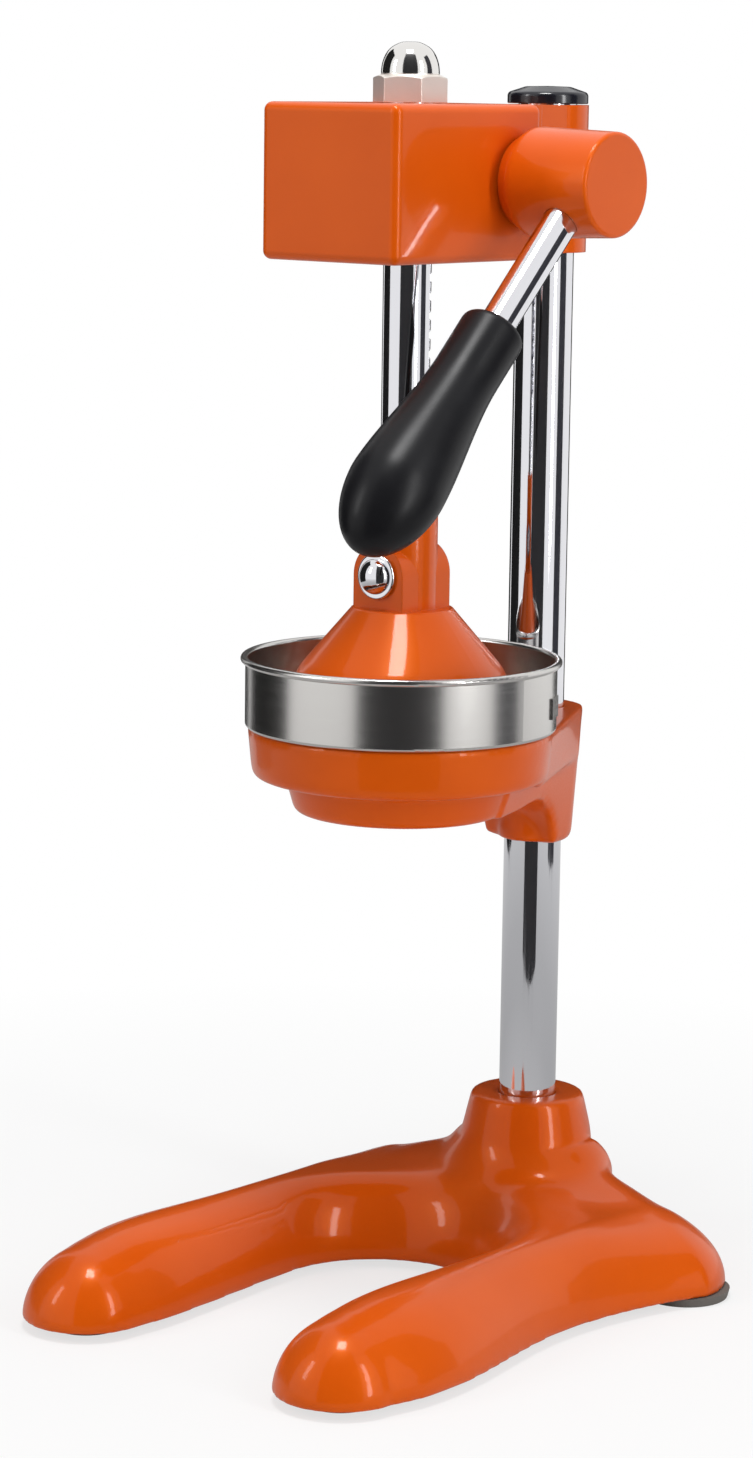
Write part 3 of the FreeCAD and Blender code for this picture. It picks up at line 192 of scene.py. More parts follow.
# %% Chrome
rub_pitch = 1.2 * mm
rub_length = 60 * mm
pit_pitch = 2.5 * mm
pit_core = 0.03
pit_rim = 0.1
pit_roughness = 0.16
rub_low = 0.45
rub_high = 0.75
rub_roughness = (0.035, 0.12)

chrome, tree, shader, place = new_material("polished_chrome_plate")
rub_scale = (1 / rub_pitch, 1 / rub_pitch, 1 / rub_length)
stretched = add(tree, "ShaderNodeMapping", {"Vector": place, "Scale": rub_scale})
rubs = add(tree, "ShaderNodeTexNoise", {"Vector": stretched.outputs[0], "Scale": 1.0, "Detail": 3.0})
pits = add(tree, "ShaderNodeTexVoronoi", {"Vector": place, "Scale": 1 / pit_pitch})
pit_spots = add(tree, "ShaderNodeMapRange", {"Value": pits.outputs["Distance"], "From Min": pit_core,
                                             "From Max": pit_rim, "To Min": pit_roughness, "To Max": 0.0})
rub_gloss = add(tree, "ShaderNodeMapRange", {"Value": rubs.outputs[0], "From Min": rub_low,
                                             "From Max": rub_high, "To Min": rub_roughness[0],
                                             "To Max": rub_roughness[1]})
dull = add(tree, "ShaderNodeMath", {0: rub_gloss.outputs[0], 1: pit_spots.outputs[0]}, operation="ADD")
tree.links.new(dull.outputs[0], shader.inputs["Roughness"])
shader.inputs["Base Color"].default_value = linear("E2E2E6")
shader.inputs["Metallic"].default_value = 1.0
print("made", chrome.name)

# %% [markdown]
# ## Spun stainless sheet
# The strainer is pressed and spun from thin sheet. Spinning leaves fine grooves that run round it.
# They stretch reflections up and down, which an anisotropic shader with a tangent round the axis
# gives. The real grooves are about 0.1 mm apart, too fine to see here, so they are drawn 0.6 mm apart.

# %% Spun steel
groove_pitch = 0.6 * mm
groove_length = 40 * mm
groove_depth = 0.0003 * mm
spun_roughness = (0.19, 0.22)
spun_stretch = 0.6

spun_steel, tree, shader, place = new_material("spun_stainless_sheet")
groove_scale = (1 / groove_length, 1 / groove_length, 1 / groove_pitch)
stretched = add(tree, "ShaderNodeMapping", {"Vector": place, "Scale": groove_scale})
grooves = add(tree, "ShaderNodeTexNoise", {"Vector": stretched.outputs[0], "Scale": 1.0, "Detail": 2.0})
gloss = add(tree, "ShaderNodeMapRange", {"Value": grooves.outputs[0], **noise_spread,
                                         "To Min": spun_roughness[0], "To Max": spun_roughness[1]})
tone = add(tree, "ShaderNodeMix", {"Factor": grooves.outputs[0], "A": linear("CFCCC9"),
                                   "B": linear("D6D4D1")}, data_type="RGBA")
relief = add(tree, "ShaderNodeBump", {"Height": grooves.outputs[0], "Distance": groove_depth,
                                      "Strength": 1.0})
around = add(tree, "ShaderNodeTangent", direction_type="RADIAL", axis="Z")
tree.links.new(tone.outputs["Result"], shader.inputs["Base Color"])
tree.links.new(gloss.outputs[0], shader.inputs["Roughness"])
tree.links.new(relief.outputs[0], shader.inputs["Normal"])
tree.links.new(around.outputs[0], shader.inputs["Tangent"])
shader.inputs["Metallic"].default_value = 1.0
shader.inputs["Anisotropic"].default_value = spun_stretch
print("made", spun_steel.name)

# %% [markdown]
# ## Dome nut
# The nut is turned from stainless bar. Its hexagon keeps a satin finish from tumbling, and its dome
# is buffed to a mirror. One material does both: the height on the object picks the finish, with a
# change over half a millimetre where the buffing stopped.

# %% Satin hexagon and buffed dome
hexagon_height = 11.4 * mm
buffing_fade = 0.5 * mm
buffed_roughness = 0.05
satin_roughness = (0.36, 0.5)
grit_pitch = 0.5 * mm
grit_depth = 0.01 * mm
grit_strength = 0.4
nut_edge = 0.5 * mm
dome_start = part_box("acorn_nut")[0].z + hexagon_height

nut_steel, tree, shader, place = new_material("tumbled_and_buffed_stainless")
height = add(tree, "ShaderNodeSeparateXYZ", {"Vector": place}).outputs["Z"]
grit = add(tree, "ShaderNodeTexNoise", {"Vector": place, "Scale": 1 / grit_pitch, "Detail": 3.0})
satin = add(tree, "ShaderNodeMapRange", {"Value": grit.outputs[0], **noise_spread,
                                         "To Min": satin_roughness[0], "To Max": satin_roughness[1]})
buffed = add(tree, "ShaderNodeMapRange", {"Value": height, "From Min": dome_start,
                                          "From Max": dome_start + buffing_fade})
finish = add(tree, "ShaderNodeMix", {"Factor": buffed.outputs[0], "A": satin.outputs[0],
                                     "B": buffed_roughness})
warmth = add(tree, "ShaderNodeMix", {"Factor": buffed.outputs[0], "A": linear("F0E9E2"),
                                     "B": linear("E8E6E3")}, data_type="RGBA")
edge = add(tree, "ShaderNodeBevel", {"Radius": nut_edge}, samples=4)
relief = add(tree, "ShaderNodeBump", {"Height": satin.outputs[0], "Distance": grit_depth,
                                      "Strength": grit_strength, "Normal": edge.outputs[0]})
tree.links.new(finish.outputs["Result"], shader.inputs["Roughness"])
tree.links.new(warmth.outputs["Result"], shader.inputs["Base Color"])
tree.links.new(relief.outputs[0], shader.inputs["Normal"])
shader.inputs["Metallic"].default_value = 1.0
print("made", nut_steel.name)

# %% [markdown]
# ## Machined steel, cast aluminium and brass
# Three metals are mostly out of sight, and show when the press is opened or turned over. They differ
# in colour, in how rough they are, and in the size of their grain: cutting marks on turned steel and
# brass, and a tumbled, grainy skin on the cast reamer.


# %% Plain metals
def plain_metal(name, dark, light, grain_pitch, rough_low, rough_high, grain_depth):
    """A bare metal whose grain changes its colour, its gloss and its surface."""
    material, tree, shader, place = new_material(name)
    grain = add(tree, "ShaderNodeTexNoise", {"Vector": place, "Scale": 1 / grain_pitch, "Detail": 4.0})
    tone = add(tree, "ShaderNodeMix", {"Factor": grain.outputs[0], "A": linear(dark), "B": linear(light)},
               data_type="RGBA")
    rough = add(tree, "ShaderNodeMapRange", {"Value": grain.outputs[0], **noise_spread,
                                             "To Min": rough_low, "To Max": rough_high})
    relief = add(tree, "ShaderNodeBump", {"Height": grain.outputs[0], "Distance": grain_depth,
                                          "Strength": 1.0})
    tree.links.new(tone.outputs["Result"], shader.inputs["Base Color"])
    tree.links.new(rough.outputs[0], shader.inputs["Roughness"])
    tree.links.new(relief.outputs[0], shader.inputs["Normal"])
    shader.inputs["Metallic"].default_value = 1.0
    print("made", name)
    return material


# Each line has the two colours, the grain's pitch, the lowest and highest roughness, and the grain's depth.
machined_steel = plain_metal("turned_steel", "8C8C90", "A6A6AA", 0.8 * mm, 0.25, 0.4, 0.006 * mm)
cast_aluminium = plain_metal("tumbled_cast_aluminium", "C2C2C4", "D9D9DA", 1.1 * mm, 0.3, 0.45, 0.03 * mm)
bush_brass = plain_metal("turned_brass", "B08A46", "C9A35C", 0.8 * mm, 0.22, 0.36, 0.005 * mm)

# %% [markdown]
# ## Moulded plastic and rubber
# The grip is moulded plastic with a fine spark-eroded skin, so its light is soft and wide. The cap on
# the column is a smoother, glossier moulding. The feet are grey rubber, dull and a little dusty.


# %% Plastic and rubber
def moulded(name, dark, light, grain_pitch, rough_low, rough_high, grain_depth):
    """Plastic or rubber with a mould's fine grain, and wide, faint clouds in its colour and gloss."""
    material, tree, shader, place = new_material(name)
    grain = add(tree, "ShaderNodeTexNoise", {"Vector": place, "Scale": 1 / grain_pitch, "Detail": 2.0})
    clouds = add(tree, "ShaderNodeTexNoise", {"Vector": place, "Scale": 1 / cloud_pitch, "Detail": 3.0})
    tone = add(tree, "ShaderNodeMix", {"Factor": clouds.outputs[0], "A": linear(dark), "B": linear(light)},
               data_type="RGBA")
    rough = add(tree, "ShaderNodeMapRange", {"Value": clouds.outputs[0], **noise_spread,
                                             "To Min": rough_low, "To Max": rough_high})
    relief = add(tree, "ShaderNodeBump", {"Height": grain.outputs[0], "Distance": grain_depth,
                                          "Strength": 1.0})
    tree.links.new(tone.outputs["Result"], shader.inputs["Base Color"])
    tree.links.new(rough.outputs[0], shader.inputs["Roughness"])
    tree.links.new(relief.outputs[0], shader.inputs["Normal"])
    print("made", name)
    return material


# The numbers are in the same order as for the metals.
cloud_pitch = 20 * mm
grip_specular = 0.16
grip_plastic = moulded("spark_eroded_black_plastic", "121214", "18181B", 0.7 * mm, 0.31, 0.37, 0.01 * mm)
grip_plastic.node_tree.nodes["Principled BSDF"].inputs["Specular IOR Level"].default_value = grip_specular
cap_plastic = moulded("gloss_black_plastic", "121319", "1B1D26", 1.5 * mm, 0.16, 0.24, 0.004 * mm)
foot_rubber = moulded("grey_moulded_rubber", "5A5753", "6E6A65", 0.8 * mm, 0.7, 0.85, 0.03 * mm)

# %% [markdown]
# ## Dressing the frame's own pieces
# Most pieces already have the right shape, so they only get their material.
# The record says which finish each one has, and the names below pick the ones that differ.

# %% Materials on the nodes
material_of_slot = {
    "orange_paint": enamel,
    "chrome_plate": chrome,
    "stainless_sheet": spun_steel,
    "cast_aluminium": cast_aluminium,
    "black_plastic": grip_plastic,
    "foot_rubber": foot_rubber,
    "bush_brass": bush_brass,
    "machined_steel": machined_steel,
}
special = {"acorn_nut": nut_steel, "column_cap": cap_plastic}
slot_of_node = {part["node"]: part["material_slot"] for part in frame["record"]["subparts"]}
for name, node in nodes.items():
    node.data.materials.clear()
    node.data.materials.append(special.get(name, material_of_slot[slot_of_node[name]]))
print("dressed", len(nodes), "nodes")

# %% [markdown]
# ## The base's soft blends
# On the real base, the column's boss flows into the legs in one smooth, wide sweep. The frame's solid
# has a tighter corner there. A voxel remesh turns the solid into an even skin of small squares.
# Filler then lifts the skin where the real casting is fuller, as a modeller would build up clay, and
# a Smooth modifier relaxes it there. A few passes everywhere take the sharpness off the cast edges.


# %% Softened castings
def evaluated(piece, name):
    """What a piece's modifiers make, as a plain mesh."""
    bpy.context.view_layer.update()
    graph = bpy.context.evaluated_depsgraph_get()
    mesh = bpy.data.meshes.new_from_object(piece.evaluated_get(graph))
    mesh.name = name
    return mesh


weld_distance = 0.002 * mm


def softened_casting(name, node_name, voxel, edge_passes, blend_passes, blend_share, filler):
    """A skin over a cast node, lifted by filler and relaxed where blend_share is near 1."""
    mesh = nodes[node_name].data.copy()
    loose = bmesh.new()
    loose.from_mesh(mesh)
    bmesh.ops.remove_doubles(loose, verts=loose.verts, dist=weld_distance)
    loose.to_mesh(mesh)
    loose.free()
    piece = bpy.data.objects.new(name, mesh)
    bpy.context.scene.collection.objects.link(piece)
    skin = piece.modifiers.new("skin", "REMESH")
    skin.mode = "VOXEL"
    skin.voxel_size = voxel
    piece.data = evaluated(piece, name)
    piece.modifiers.clear()
    soft = piece.vertex_groups.new(name="blend")
    lifts = [filler(vertex.co, vertex.normal) for vertex in piece.data.vertices]
    for vertex, lift in zip(piece.data.vertices, lifts):
        vertex.co.z += lift
        share = blend_share(vertex.co)
        if share > 0:
            soft.add([vertex.index], share, "REPLACE")
    blend = piece.modifiers.new("blend", "SMOOTH")
    blend.vertex_group = soft.name
    blend.iterations = blend_passes
    edges = piece.modifiers.new("edges", "SMOOTH")
    edges.iterations = edge_passes
    piece.data = evaluated(piece, name)
    piece.modifiers.clear()
    piece.vertex_groups.clear()
    piece.data.polygons.foreach_set("use_smooth", [True] * len(piece.data.polygons))
    piece.data.materials.clear()
    piece.data.materials.append(enamel)
    print(name, "has", len(piece.data.polygons), "faces")
    return piece


def ease(span, value):
    """Rises smoothly from 0 at the span's first number to 1 at its second."""
    low, high = span
    share = min(max((value - low) / (high - low), 0.0), 1.0)
    return share * share * (3 - 2 * share)


def from_axis(point, axis):
    """The distance from an upright axis."""
    return math.hypot(point.x - axis.x, point.y - axis.y)


# %% [markdown]
# Both the filler and the smoothing work in a ring that starts just outside the boss's cone and fades
# out over the legs. There is less filler in front, a thin layer hides the seams where the round tips
# begin, and the heel's corners come down a little. Each span below is where one of these fades.

# %% Base
column_low, column_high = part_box("column_tube")
column_axis = (column_low + column_high) / 2
relaxed_from = (26 * mm, 31 * mm)
relaxed_until = (45 * mm, 68 * mm)
relaxed_above = (14 * mm, 24 * mm)
filled_from = (24 * mm, 28 * mm)
filled_until = (31 * mm, 72 * mm)
filled_above = (20 * mm, 30 * mm)
filled_below = (46 * mm, 58 * mm)
fillet_height = 9 * mm
front_span = (0.0, 35 * mm)
front_cut = 0.75
facing_up = (0.0, 0.5)
tip_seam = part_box("base_casting")[0].y + 26 * mm
tip_span = (0.0, 15 * mm)
tip_fill_height = 0.9 * mm
tip_softness = 0.3
heel_outwards = (50 * mm, 95 * mm)
heel_backwards = (45 * mm, 100 * mm)
heel_upwards = (4 * mm, 40 * mm)
heel_drop = 4 * mm


def near_tip_seam(point):
    """1 where a leg's straight part meets its round tip, 0 away from there."""
    return 1 - ease(tip_span, abs(point.y - tip_seam))


def soft_share(point):
    """How far the skin is relaxed: fully round the boss, and a little where the tips begin."""
    distance = from_axis(point, column_axis)
    ring_share = ease(relaxed_from, distance) * (1 - ease(relaxed_until, distance))
    return ease(relaxed_above, point.z) * max(ring_share, tip_softness * near_tip_seam(point))


def base_filler(point, normal):
    """The lift round the boss's foot and over the tips' seams, less the drop of the heel's corners."""
    distance = from_axis(point, column_axis)
    ring_share = ease(filled_from, distance) * (1 - ease(filled_until, distance))
    height_share = ease(filled_above, point.z) * (1 - ease(filled_below, point.z))
    front_share = 1 - front_cut * ease(front_span, column_axis.y - point.y)
    lift = fillet_height * ring_share * height_share * front_share + tip_fill_height * near_tip_seam(point)
    heel_share = ease(heel_outwards, distance) * ease(heel_backwards, point.y) * ease(heel_upwards, point.z)
    return lift * ease(facing_up, normal.z) - heel_drop * heel_share


base_skin = softened_casting("base_skin", "base_casting", voxel=1.5 * mm, edge_passes=4, blend_passes=80,
                             blend_share=soft_share, filler=base_filler)
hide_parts("base_casting")
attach(base_skin, "frame")

# %% [markdown]
# ## The bowl and its arm
# The bowl, the arm and the column clamp are one casting too. The arm runs into the bowl's band with a
# soft blend, and the strainer's seat and the clamp's bore stay crisp, so only the outside is relaxed.

# %% Bowl and arm
bowl_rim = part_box("bowl_bracket")[1].z
rack_low, rack_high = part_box("toothed_rack")
press_axis = (rack_low + rack_high) / 2
outside_seat = (50 * mm, 60 * mm)
outside_bore = (14.5 * mm, 17 * mm)
near_rim = (-8 * mm, -3 * mm)


def outside_the_bowl(point):
    """1 on the outside of the casting, 0 near the strainer's seat, the clamp's bore and the rim."""
    off_seat = ease(outside_seat, from_axis(point, press_axis))
    off_bore = ease(outside_bore, from_axis(point, column_axis))
    return off_seat * off_bore * (1 - ease(near_rim, point.z - bowl_rim))


def no_filler(point, normal):
    """Lifts nothing, because the bowl's solid is full enough."""
    return 0.0


bowl_skin = softened_casting("bowl_skin", "bowl_bracket", voxel=1.2 * mm, edge_passes=3, blend_passes=24,
                             blend_share=outside_the_bowl, filler=no_filler)
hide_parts("bowl_bracket")
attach(bowl_skin, "frame")

# %% [markdown]
# ## Turned surfaces by rule
# The grip and the reamer are both round about an axis, and each has a rule for its radius.
# Geometry Nodes can build such a surface from a flat grid: one side of the grid becomes the angle,
# the other the distance along the axis, and the rule gives the radius. Changing an input changes
# the whole piece, which a modelled mesh can't do. The grid's rows crowd together at both ends, where
# the shape turns quickly.


# %% A tree for a turned surface
def turned_tree(name, sizes, steps, rings):
    """A tree with a grid that is ready to be wrapped round the axis, and its named inputs."""
    tree = bpy.data.node_groups.new(name, "GeometryNodeTree")
    tree.interface.new_socket(name="Surface", in_out="OUTPUT", socket_type="NodeSocketGeometry")
    keys = {}
    for label, value in sizes.items():
        socket = tree.interface.new_socket(name=label, in_out="INPUT", socket_type="NodeSocketFloat")
        keys[socket.identifier] = value
    given = add(tree, "NodeGroupInput").outputs
    grid = add(tree, "GeometryNodeMeshGrid", {"Size X": 1.0, "Size Y": 1.0, "Vertices X": steps + 1,
                                              "Vertices Y": rings + 1})
    spot = add(tree, "ShaderNodeSeparateXYZ", {0: add(tree, "GeometryNodeInputPosition").outputs[0]})
    turn = add(tree, "ShaderNodeMath", {0: spot.outputs["X"], 1: math.tau}, operation="MULTIPLY").outputs[0]
    share = add(tree, "ShaderNodeMath", {0: spot.outputs["Y"], 1: 0.5}, operation="ADD").outputs[0]
    return tree, keys, given, grid.outputs["Mesh"], turn, share


first_row = 0.0001
seam_gap = 0.001 * mm


def finish_turned(tree, grid, turn, radius, along, share, tilt, place, material):
    """Wraps the grid, closes its seam and its ends, and puts it in its place."""
    open_end = add(tree, "ShaderNodeMath", {0: share, 1: first_row}, operation="GREATER_THAN").outputs[0]
    closed = add(tree, "ShaderNodeMath", {0: radius, 1: open_end}, operation="MULTIPLY").outputs[0]
    cosine = add(tree, "ShaderNodeMath", {0: turn}, operation="COSINE").outputs[0]
    sine = add(tree, "ShaderNodeMath", {0: turn}, operation="SINE").outputs[0]
    across = add(tree, "ShaderNodeMath", {0: closed, 1: cosine}, operation="MULTIPLY").outputs[0]
    ahead = add(tree, "ShaderNodeMath", {0: closed, 1: sine}, operation="MULTIPLY").outputs[0]
    point = add(tree, "ShaderNodeCombineXYZ", {"X": across, "Y": ahead, "Z": along}).outputs[0]
    wrapped = add(tree, "GeometryNodeSetPosition", {"Geometry": grid, "Position": point}).outputs[0]
    sealed = add(tree, "GeometryNodeMergeByDistance", {"Geometry": wrapped, "Distance": seam_gap}).outputs[0]
    placed = add(tree, "GeometryNodeTransform", {"Geometry": sealed, "Translation": place, "Rotation": tilt})
    smooth = add(tree, "GeometryNodeSetShadeSmooth", {"Geometry": placed.outputs[0]}).outputs[0]
    painted = add(tree, "GeometryNodeSetMaterial", {"Geometry": smooth, "Material": material}).outputs[0]
    add(tree, "NodeGroupOutput", {0: painted})


def grown(name, tree, keys):
    """Runs a tree with its inputs set, and keeps the result as a plain piece."""
    piece = bpy.data.objects.new(name, bpy.data.meshes.new(name + "_seed"))
    bpy.context.scene.collection.objects.link(piece)
    rule = piece.modifiers.new("rule", "NODES")
    rule.node_group = tree
    for key, value in keys.items():
        rule[key] = value
    piece.data = evaluated(piece, name)
    piece.modifiers.clear()
    print(name, "has", len(piece.data.polygons), "faces")
    return piece


# %% [markdown]
# ## The grip
# The grip is a moulded pear: a straight neck with a rounded mouth, a slow swell, and a round end.
# Its radius is the neck's, plus the swell's share, times an ellipse that closes the end.

# %% Grip
hub_low, hub_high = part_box("lever_hub")
hub_centre = (hub_low + hub_high) / 2
rod_low, rod_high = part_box("lever_rod")
rod_centre = (rod_low + rod_high) / 2
lever_tilt = math.radians(135)
grip_start = 78.5 * mm
mouth_power = 5.0
grip_sizes = {
    "Length": 115.5 * mm,
    "Neck radius": 13.5 * mm,
    "Bulb radius": 19.5 * mm,
    "Swell start": 24 * mm,
    "Swell end": 87 * mm,
    "Widest": 82 * mm,
    "Mouth length": 6 * mm,
    "Mouth narrowing": 0.4,
}
tree, keys, given, grid, turn, share = turned_tree("turned_grip", grip_sizes, steps=96, rings=150)
half_turn = add(tree, "ShaderNodeMath", {0: share, 1: math.pi}, operation="MULTIPLY").outputs[0]
swing = add(tree, "ShaderNodeMath", {0: half_turn}, operation="COSINE").outputs[0]
crowded = add(tree, "ShaderNodeMath", {0: swing, 1: -0.5, 2: 0.5}, operation="MULTIPLY_ADD").outputs[0]
along = add(tree, "ShaderNodeMath", {0: crowded, 1: given["Length"]}, operation="MULTIPLY").outputs[0]
swell_map = {"Value": along, "From Min": given["Swell start"], "From Max": given["Swell end"],
             "To Min": given["Neck radius"], "To Max": given["Bulb radius"]}
swell = add(tree, "ShaderNodeMapRange", swell_map, interpolation_type="SMOOTHSTEP").outputs[0]
past = add(tree, "ShaderNodeMapRange", {"Value": along, "From Min": given["Widest"],
                                        "From Max": given["Length"]}).outputs[0]
squared = add(tree, "ShaderNodeMath", {0: past, 1: past}, operation="MULTIPLY").outputs[0]
left_over = add(tree, "ShaderNodeMath", {0: 1.0, 1: squared}, operation="SUBTRACT").outputs[0]
closing = add(tree, "ShaderNodeMath", {0: left_over}, operation="SQRT").outputs[0]
mouth_map = {"Value": along, "From Max": given["Mouth length"], "To Min": 1.0, "To Max": 0.0}
to_mouth = add(tree, "ShaderNodeMapRange", mouth_map).outputs[0]
mouth = add(tree, "ShaderNodeMath", {0: to_mouth, 1: mouth_power}, operation="POWER").outputs[0]
cut = add(tree, "ShaderNodeMath", {0: mouth, 1: given["Mouth narrowing"]}, operation="MULTIPLY").outputs[0]
mouth_share = add(tree, "ShaderNodeMath", {0: 1.0, 1: cut}, operation="SUBTRACT").outputs[0]
rounded = add(tree, "ShaderNodeMath", {0: swell, 1: closing}, operation="MULTIPLY").outputs[0]
radius = add(tree, "ShaderNodeMath", {0: rounded, 1: mouth_share}, operation="MULTIPLY").outputs[0]
grip_y = hub_centre.y - grip_start * math.sin(lever_tilt)
grip_z = hub_centre.z + grip_start * math.cos(lever_tilt)
grip_place = (rod_centre.x, grip_y, grip_z)
finish_turned(tree, grid, turn, radius, along, share, (lever_tilt, 0, 0), grip_place, grip_plastic)
grip = grown("moulded_grip", tree, keys)
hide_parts("lever_grip")
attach(grip, "lever")

# %% [markdown]
# ## The reamer
# Half a fruit is pressed onto the reamer, and its ribs lead the juice down. It is a cast dome with
# twelve soft ribs that fade out towards the tip. The ribs are a cosine of the angle raised to a
# power, which makes narrow crests with wide, flat valleys between them.

# %% Reamer
reamer_low, reamer_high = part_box("reamer_cone")
dome_bend = 1.7
dome_fullness = 0.62
reamer_sizes = {
    "Height": reamer_high.z - reamer_low.z,
    "Foot radius": 35 * mm,
    "Rib count": 12,
    "Rib height": 2.4 * mm,
    "Rib sharpness": 6.0,
}
tree, keys, given, grid, turn, share = turned_tree("ribbed_reamer", reamer_sizes, steps=288, rings=72)
quarter = add(tree, "ShaderNodeMath", {0: share, 1: math.pi / 2}, operation="MULTIPLY").outputs[0]
rise = add(tree, "ShaderNodeMath", {0: quarter}, operation="SINE").outputs[0]
along = add(tree, "ShaderNodeMath", {0: rise, 1: given["Height"]}, operation="MULTIPLY").outputs[0]
bent = add(tree, "ShaderNodeMath", {0: rise, 1: dome_bend}, operation="POWER").outputs[0]
below = add(tree, "ShaderNodeMath", {0: 1.0, 1: bent}, operation="SUBTRACT").outputs[0]
dome = add(tree, "ShaderNodeMath", {0: below, 1: dome_fullness}, operation="POWER").outputs[0]
body = add(tree, "ShaderNodeMath", {0: dome, 1: given["Foot radius"]}, operation="MULTIPLY").outputs[0]
fading = add(tree, "ShaderNodeMath", {0: 1.0, 1: rise}, operation="SUBTRACT").outputs[0]
rib_turn = add(tree, "ShaderNodeMath", {0: turn, 1: given["Rib count"]}, operation="MULTIPLY").outputs[0]
wave = add(tree, "ShaderNodeMath", {0: rib_turn}, operation="COSINE").outputs[0]
lifted = add(tree, "ShaderNodeMath", {0: wave, 1: 0.5, 2: 0.5}, operation="MULTIPLY_ADD").outputs[0]
crest = add(tree, "ShaderNodeMath", {0: lifted, 1: given["Rib sharpness"]}, operation="POWER").outputs[0]
rib = add(tree, "ShaderNodeMath", {0: crest, 1: given["Rib height"]}, operation="MULTIPLY").outputs[0]
faded_rib = add(tree, "ShaderNodeMath", {0: rib, 1: fading}, operation="MULTIPLY").outputs[0]
radius = add(tree, "ShaderNodeMath", {0: body, 1: faded_rib}, operation="ADD").outputs[0]
reamer_place = ((reamer_low.x + reamer_high.x) / 2, (reamer_low.y + reamer_high.y) / 2, reamer_low.z)
finish_turned(tree, grid, turn, radius, along, share, (0, 0, 0), reamer_place, cast_aluminium)
reamer = grown("ribbed_reamer", tree, keys)
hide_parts("reamer_cone")
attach(reamer, "frame")

# %% [markdown]
# ## The floor and the room
# The press stands on a plain white sheet. The camera sees it as white paper. Metal that mirrors it
# sees painted shade: the paper's glow is drawn dimmer near the press. Everything else sees an ordinary
# pale floor, so it doesn't throw too much light up. Close to the press, a part of its look stays a
# real, lit surface, so that the shadow under the press shows.

# %% Floor and world
floor_half = 12.0
paper_roughness = 0.9
# Painted shade for reflections: metal sees the paper drawn darker near the press, brightening out to
# white_reach.
painted_shade_reach = 0.4
white_reach = 1.8
painted_shade_near = 0.42
mirrored_far = 1.0
shadow_near = 0.15
shadow_far = 0.6
white_near = 0.7
fill_light = 0.42
floor_mesh = bpy.data.meshes.new("floor")
floor_corners = [(-floor_half, -floor_half, 0), (floor_half, -floor_half, 0),
                 (floor_half, floor_half, 0), (-floor_half, floor_half, 0)]
floor_mesh.from_pydata(floor_corners, [], [(0, 1, 2, 3)])
floor = bpy.data.objects.new("floor", floor_mesh)
bpy.context.scene.collection.objects.link(floor)

paper, tree, shader, place = new_material("white_paper_floor")
shader.inputs["Base Color"].default_value = linear("E9E9E9")
shader.inputs["Roughness"].default_value = paper_roughness
ray = add(tree, "ShaderNodeLightPath")
reach = add(tree, "ShaderNodeVectorMath", {0: place}, operation="LENGTH")
# Painted shade: the glow that reflections see is dimmed near the press.
mirrored_painted_shade = add(tree, "ShaderNodeMapRange", {"Value": reach.outputs["Value"], "From Min": painted_shade_reach,
                                            "From Max": white_reach, "To Min": painted_shade_near,
                                            "To Max": mirrored_far})
glow_with_painted_shade = add(tree, "ShaderNodeMapRange", {"Value": ray.outputs["Is Glossy Ray"], "To Min": 1.0,
                                        "To Max": mirrored_painted_shade.outputs[0]})
white = add(tree, "ShaderNodeEmission", {"Color": (1, 1, 1, 1), "Strength": glow_with_painted_shade.outputs[0]})
seen = add(tree, "ShaderNodeMath", {0: ray.outputs["Is Camera Ray"], 1: ray.outputs["Is Glossy Ray"]},
           operation="ADD", use_clamp=True)
whiteness = add(tree, "ShaderNodeMapRange", {"Value": reach.outputs["Value"], "From Min": shadow_near,
                                             "From Max": shadow_far, "To Min": white_near, "To Max": 1.0})
seen_white = add(tree, "ShaderNodeMath", {0: seen.outputs[0], 1: whiteness.outputs[0]}, operation="MULTIPLY")
sheet = add(tree, "ShaderNodeMixShader", {0: seen_white.outputs[0], 1: shader.outputs[0],
                                          2: white.outputs[0]})
tree.links.new(sheet.outputs[0], tree.nodes["Material Output"].inputs["Surface"])
floor_mesh.materials.append(paper)

world = bpy.data.worlds.new("studio")
bpy.context.scene.world = world
world.use_nodes = True
tree = world.node_tree
tree.nodes.clear()
ray = add(tree, "ShaderNodeLightPath")
seen = add(tree, "ShaderNodeMath", {0: ray.outputs["Is Camera Ray"], 1: ray.outputs["Is Glossy Ray"]},
           operation="ADD", use_clamp=True)
any_seen = add(tree, "ShaderNodeMath", {0: seen.outputs[0], 1: ray.outputs["Is Transmission Ray"]},
               operation="ADD", use_clamp=True)
strength = add(tree, "ShaderNodeMapRange", {"Value": any_seen.outputs[0], "To Min": fill_light})
sky = add(tree, "ShaderNodeBackground", {"Color": (1, 1, 1, 1), "Strength": strength.outputs[0]})
add(tree, "ShaderNodeOutputWorld", {"Surface": sky.outputs[0]})
print("floor", 2 * floor_half, "m wide, fill light", fill_light)

# %% [markdown]
# ## Softboxes and dark boards
# A chromed tube only looks like chrome if there is something dark for it to mirror. Studios stand
# black boards round the object for that. Here they are seen by reflections alone: they throw no
# shadow and don't show in the picture. The big softboxes give the paint its long highlights.


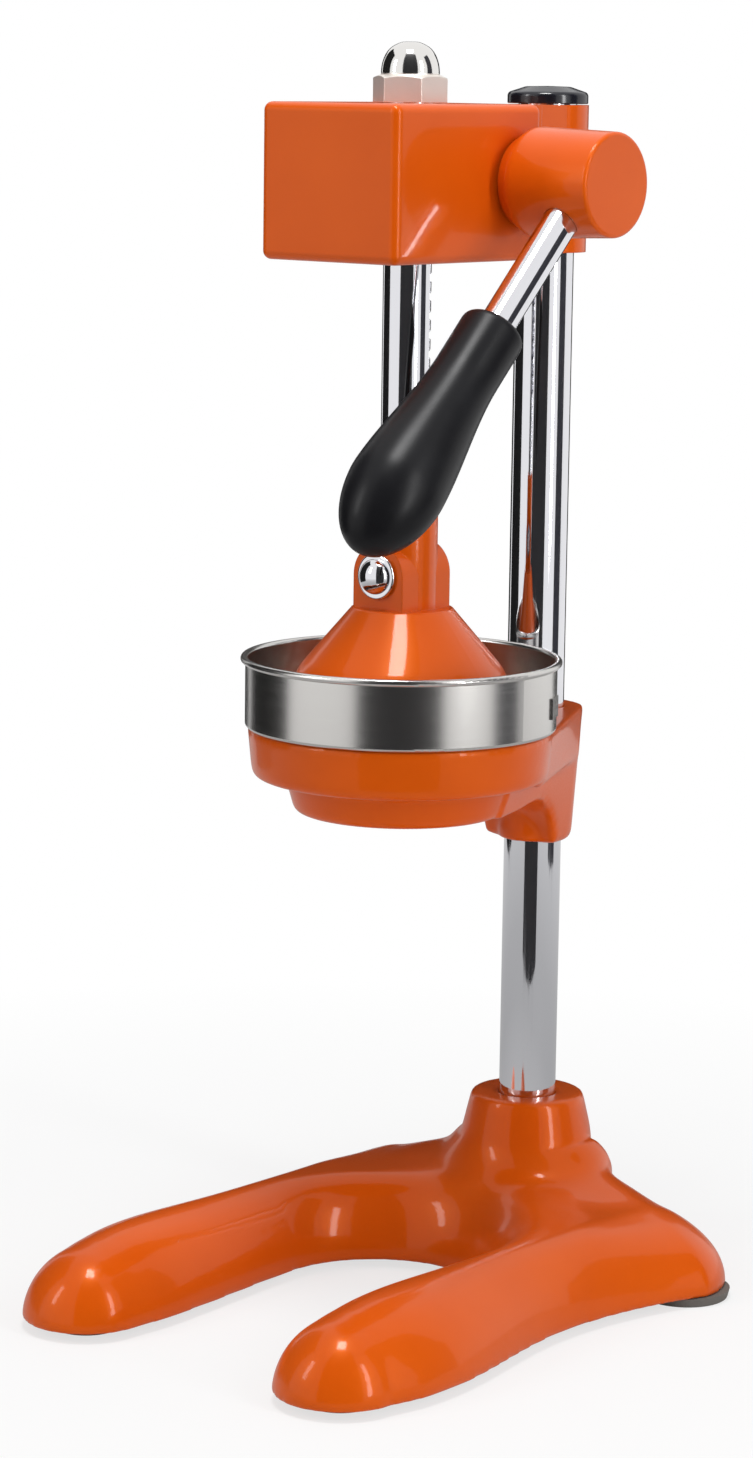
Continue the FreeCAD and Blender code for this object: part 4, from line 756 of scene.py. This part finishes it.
# %% Lights and boards
press_middle = (0, 0, 0.25)
board_centre = Vector((0, 0.05, 0))


def softbox(name, place, aim, width, height, power):
    """A rectangular lamp that faces a point."""
    lamp = bpy.data.lights.new(name, "AREA")
    lamp.shape = "RECTANGLE"
    lamp.size = width
    lamp.size_y = height
    lamp.energy = power
    light = bpy.data.objects.new(name, lamp)
    facing = (Vector(place) - Vector(aim)).to_track_quat("Z", "Y").to_matrix().to_4x4()
    light.matrix_world = Matrix.Translation(Vector(place)) @ facing
    bpy.context.scene.collection.objects.link(light)


def board(name, azimuth, distance, width, low, high, shade):
    """An upright board that only reflections see. Azimuth 0 is in front, 90 on the lever's side."""
    turn = math.radians(azimuth)
    middle = Vector((math.sin(turn), -math.cos(turn), 0)) * distance + board_centre
    side = Vector((math.cos(turn), math.sin(turn), 0)) * width / 2
    corners = [middle - side, middle + side]
    rows = [(c.x, c.y, z) for z in (low, high) for c in corners]
    mesh = bpy.data.meshes.new(name)
    mesh.from_pydata(rows, [], [(0, 1, 3, 2)])
    panel = bpy.data.objects.new(name, mesh)
    bpy.context.scene.collection.objects.link(panel)
    cloth, tree, shader, place = new_material(name + "_cloth")
    shader.inputs["Base Color"].default_value = linear(shade)
    shader.inputs["Roughness"].default_value = 1.0
    mesh.materials.append(cloth)
    panel.visible_camera = False
    panel.visible_diffuse = False
    panel.visible_shadow = False


# After its place and aim, a softbox has its width, its height and its power in watts.
softbox("top_softbox", (0.16, -0.24, 1.5), press_middle, 0.34, 0.34, 10.5)
softbox("right_softbox", (1.45, -0.05, 0.7), press_middle, 0.2, 1.2, 9)
softbox("left_softbox", (-0.7, -1.35, 1.0), press_middle, 0.2, 0.8, 4.5)
# A board has its azimuth, distance, width, lower edge, upper edge and colour.
board("front_board", 37, 0.5, 0.54, 0.0, 1.3, "363638")
board("left_board", -73, 0.9, 0.9, 0.0, 1.3, "080808")
board("right_board", 120, 0.9, 0.4, 0.0, 1.3, "3A3A40")
board("rear_board", 220, 1.1, 1.4, 0.02, 0.9, "101010")
print("three softboxes and four boards")
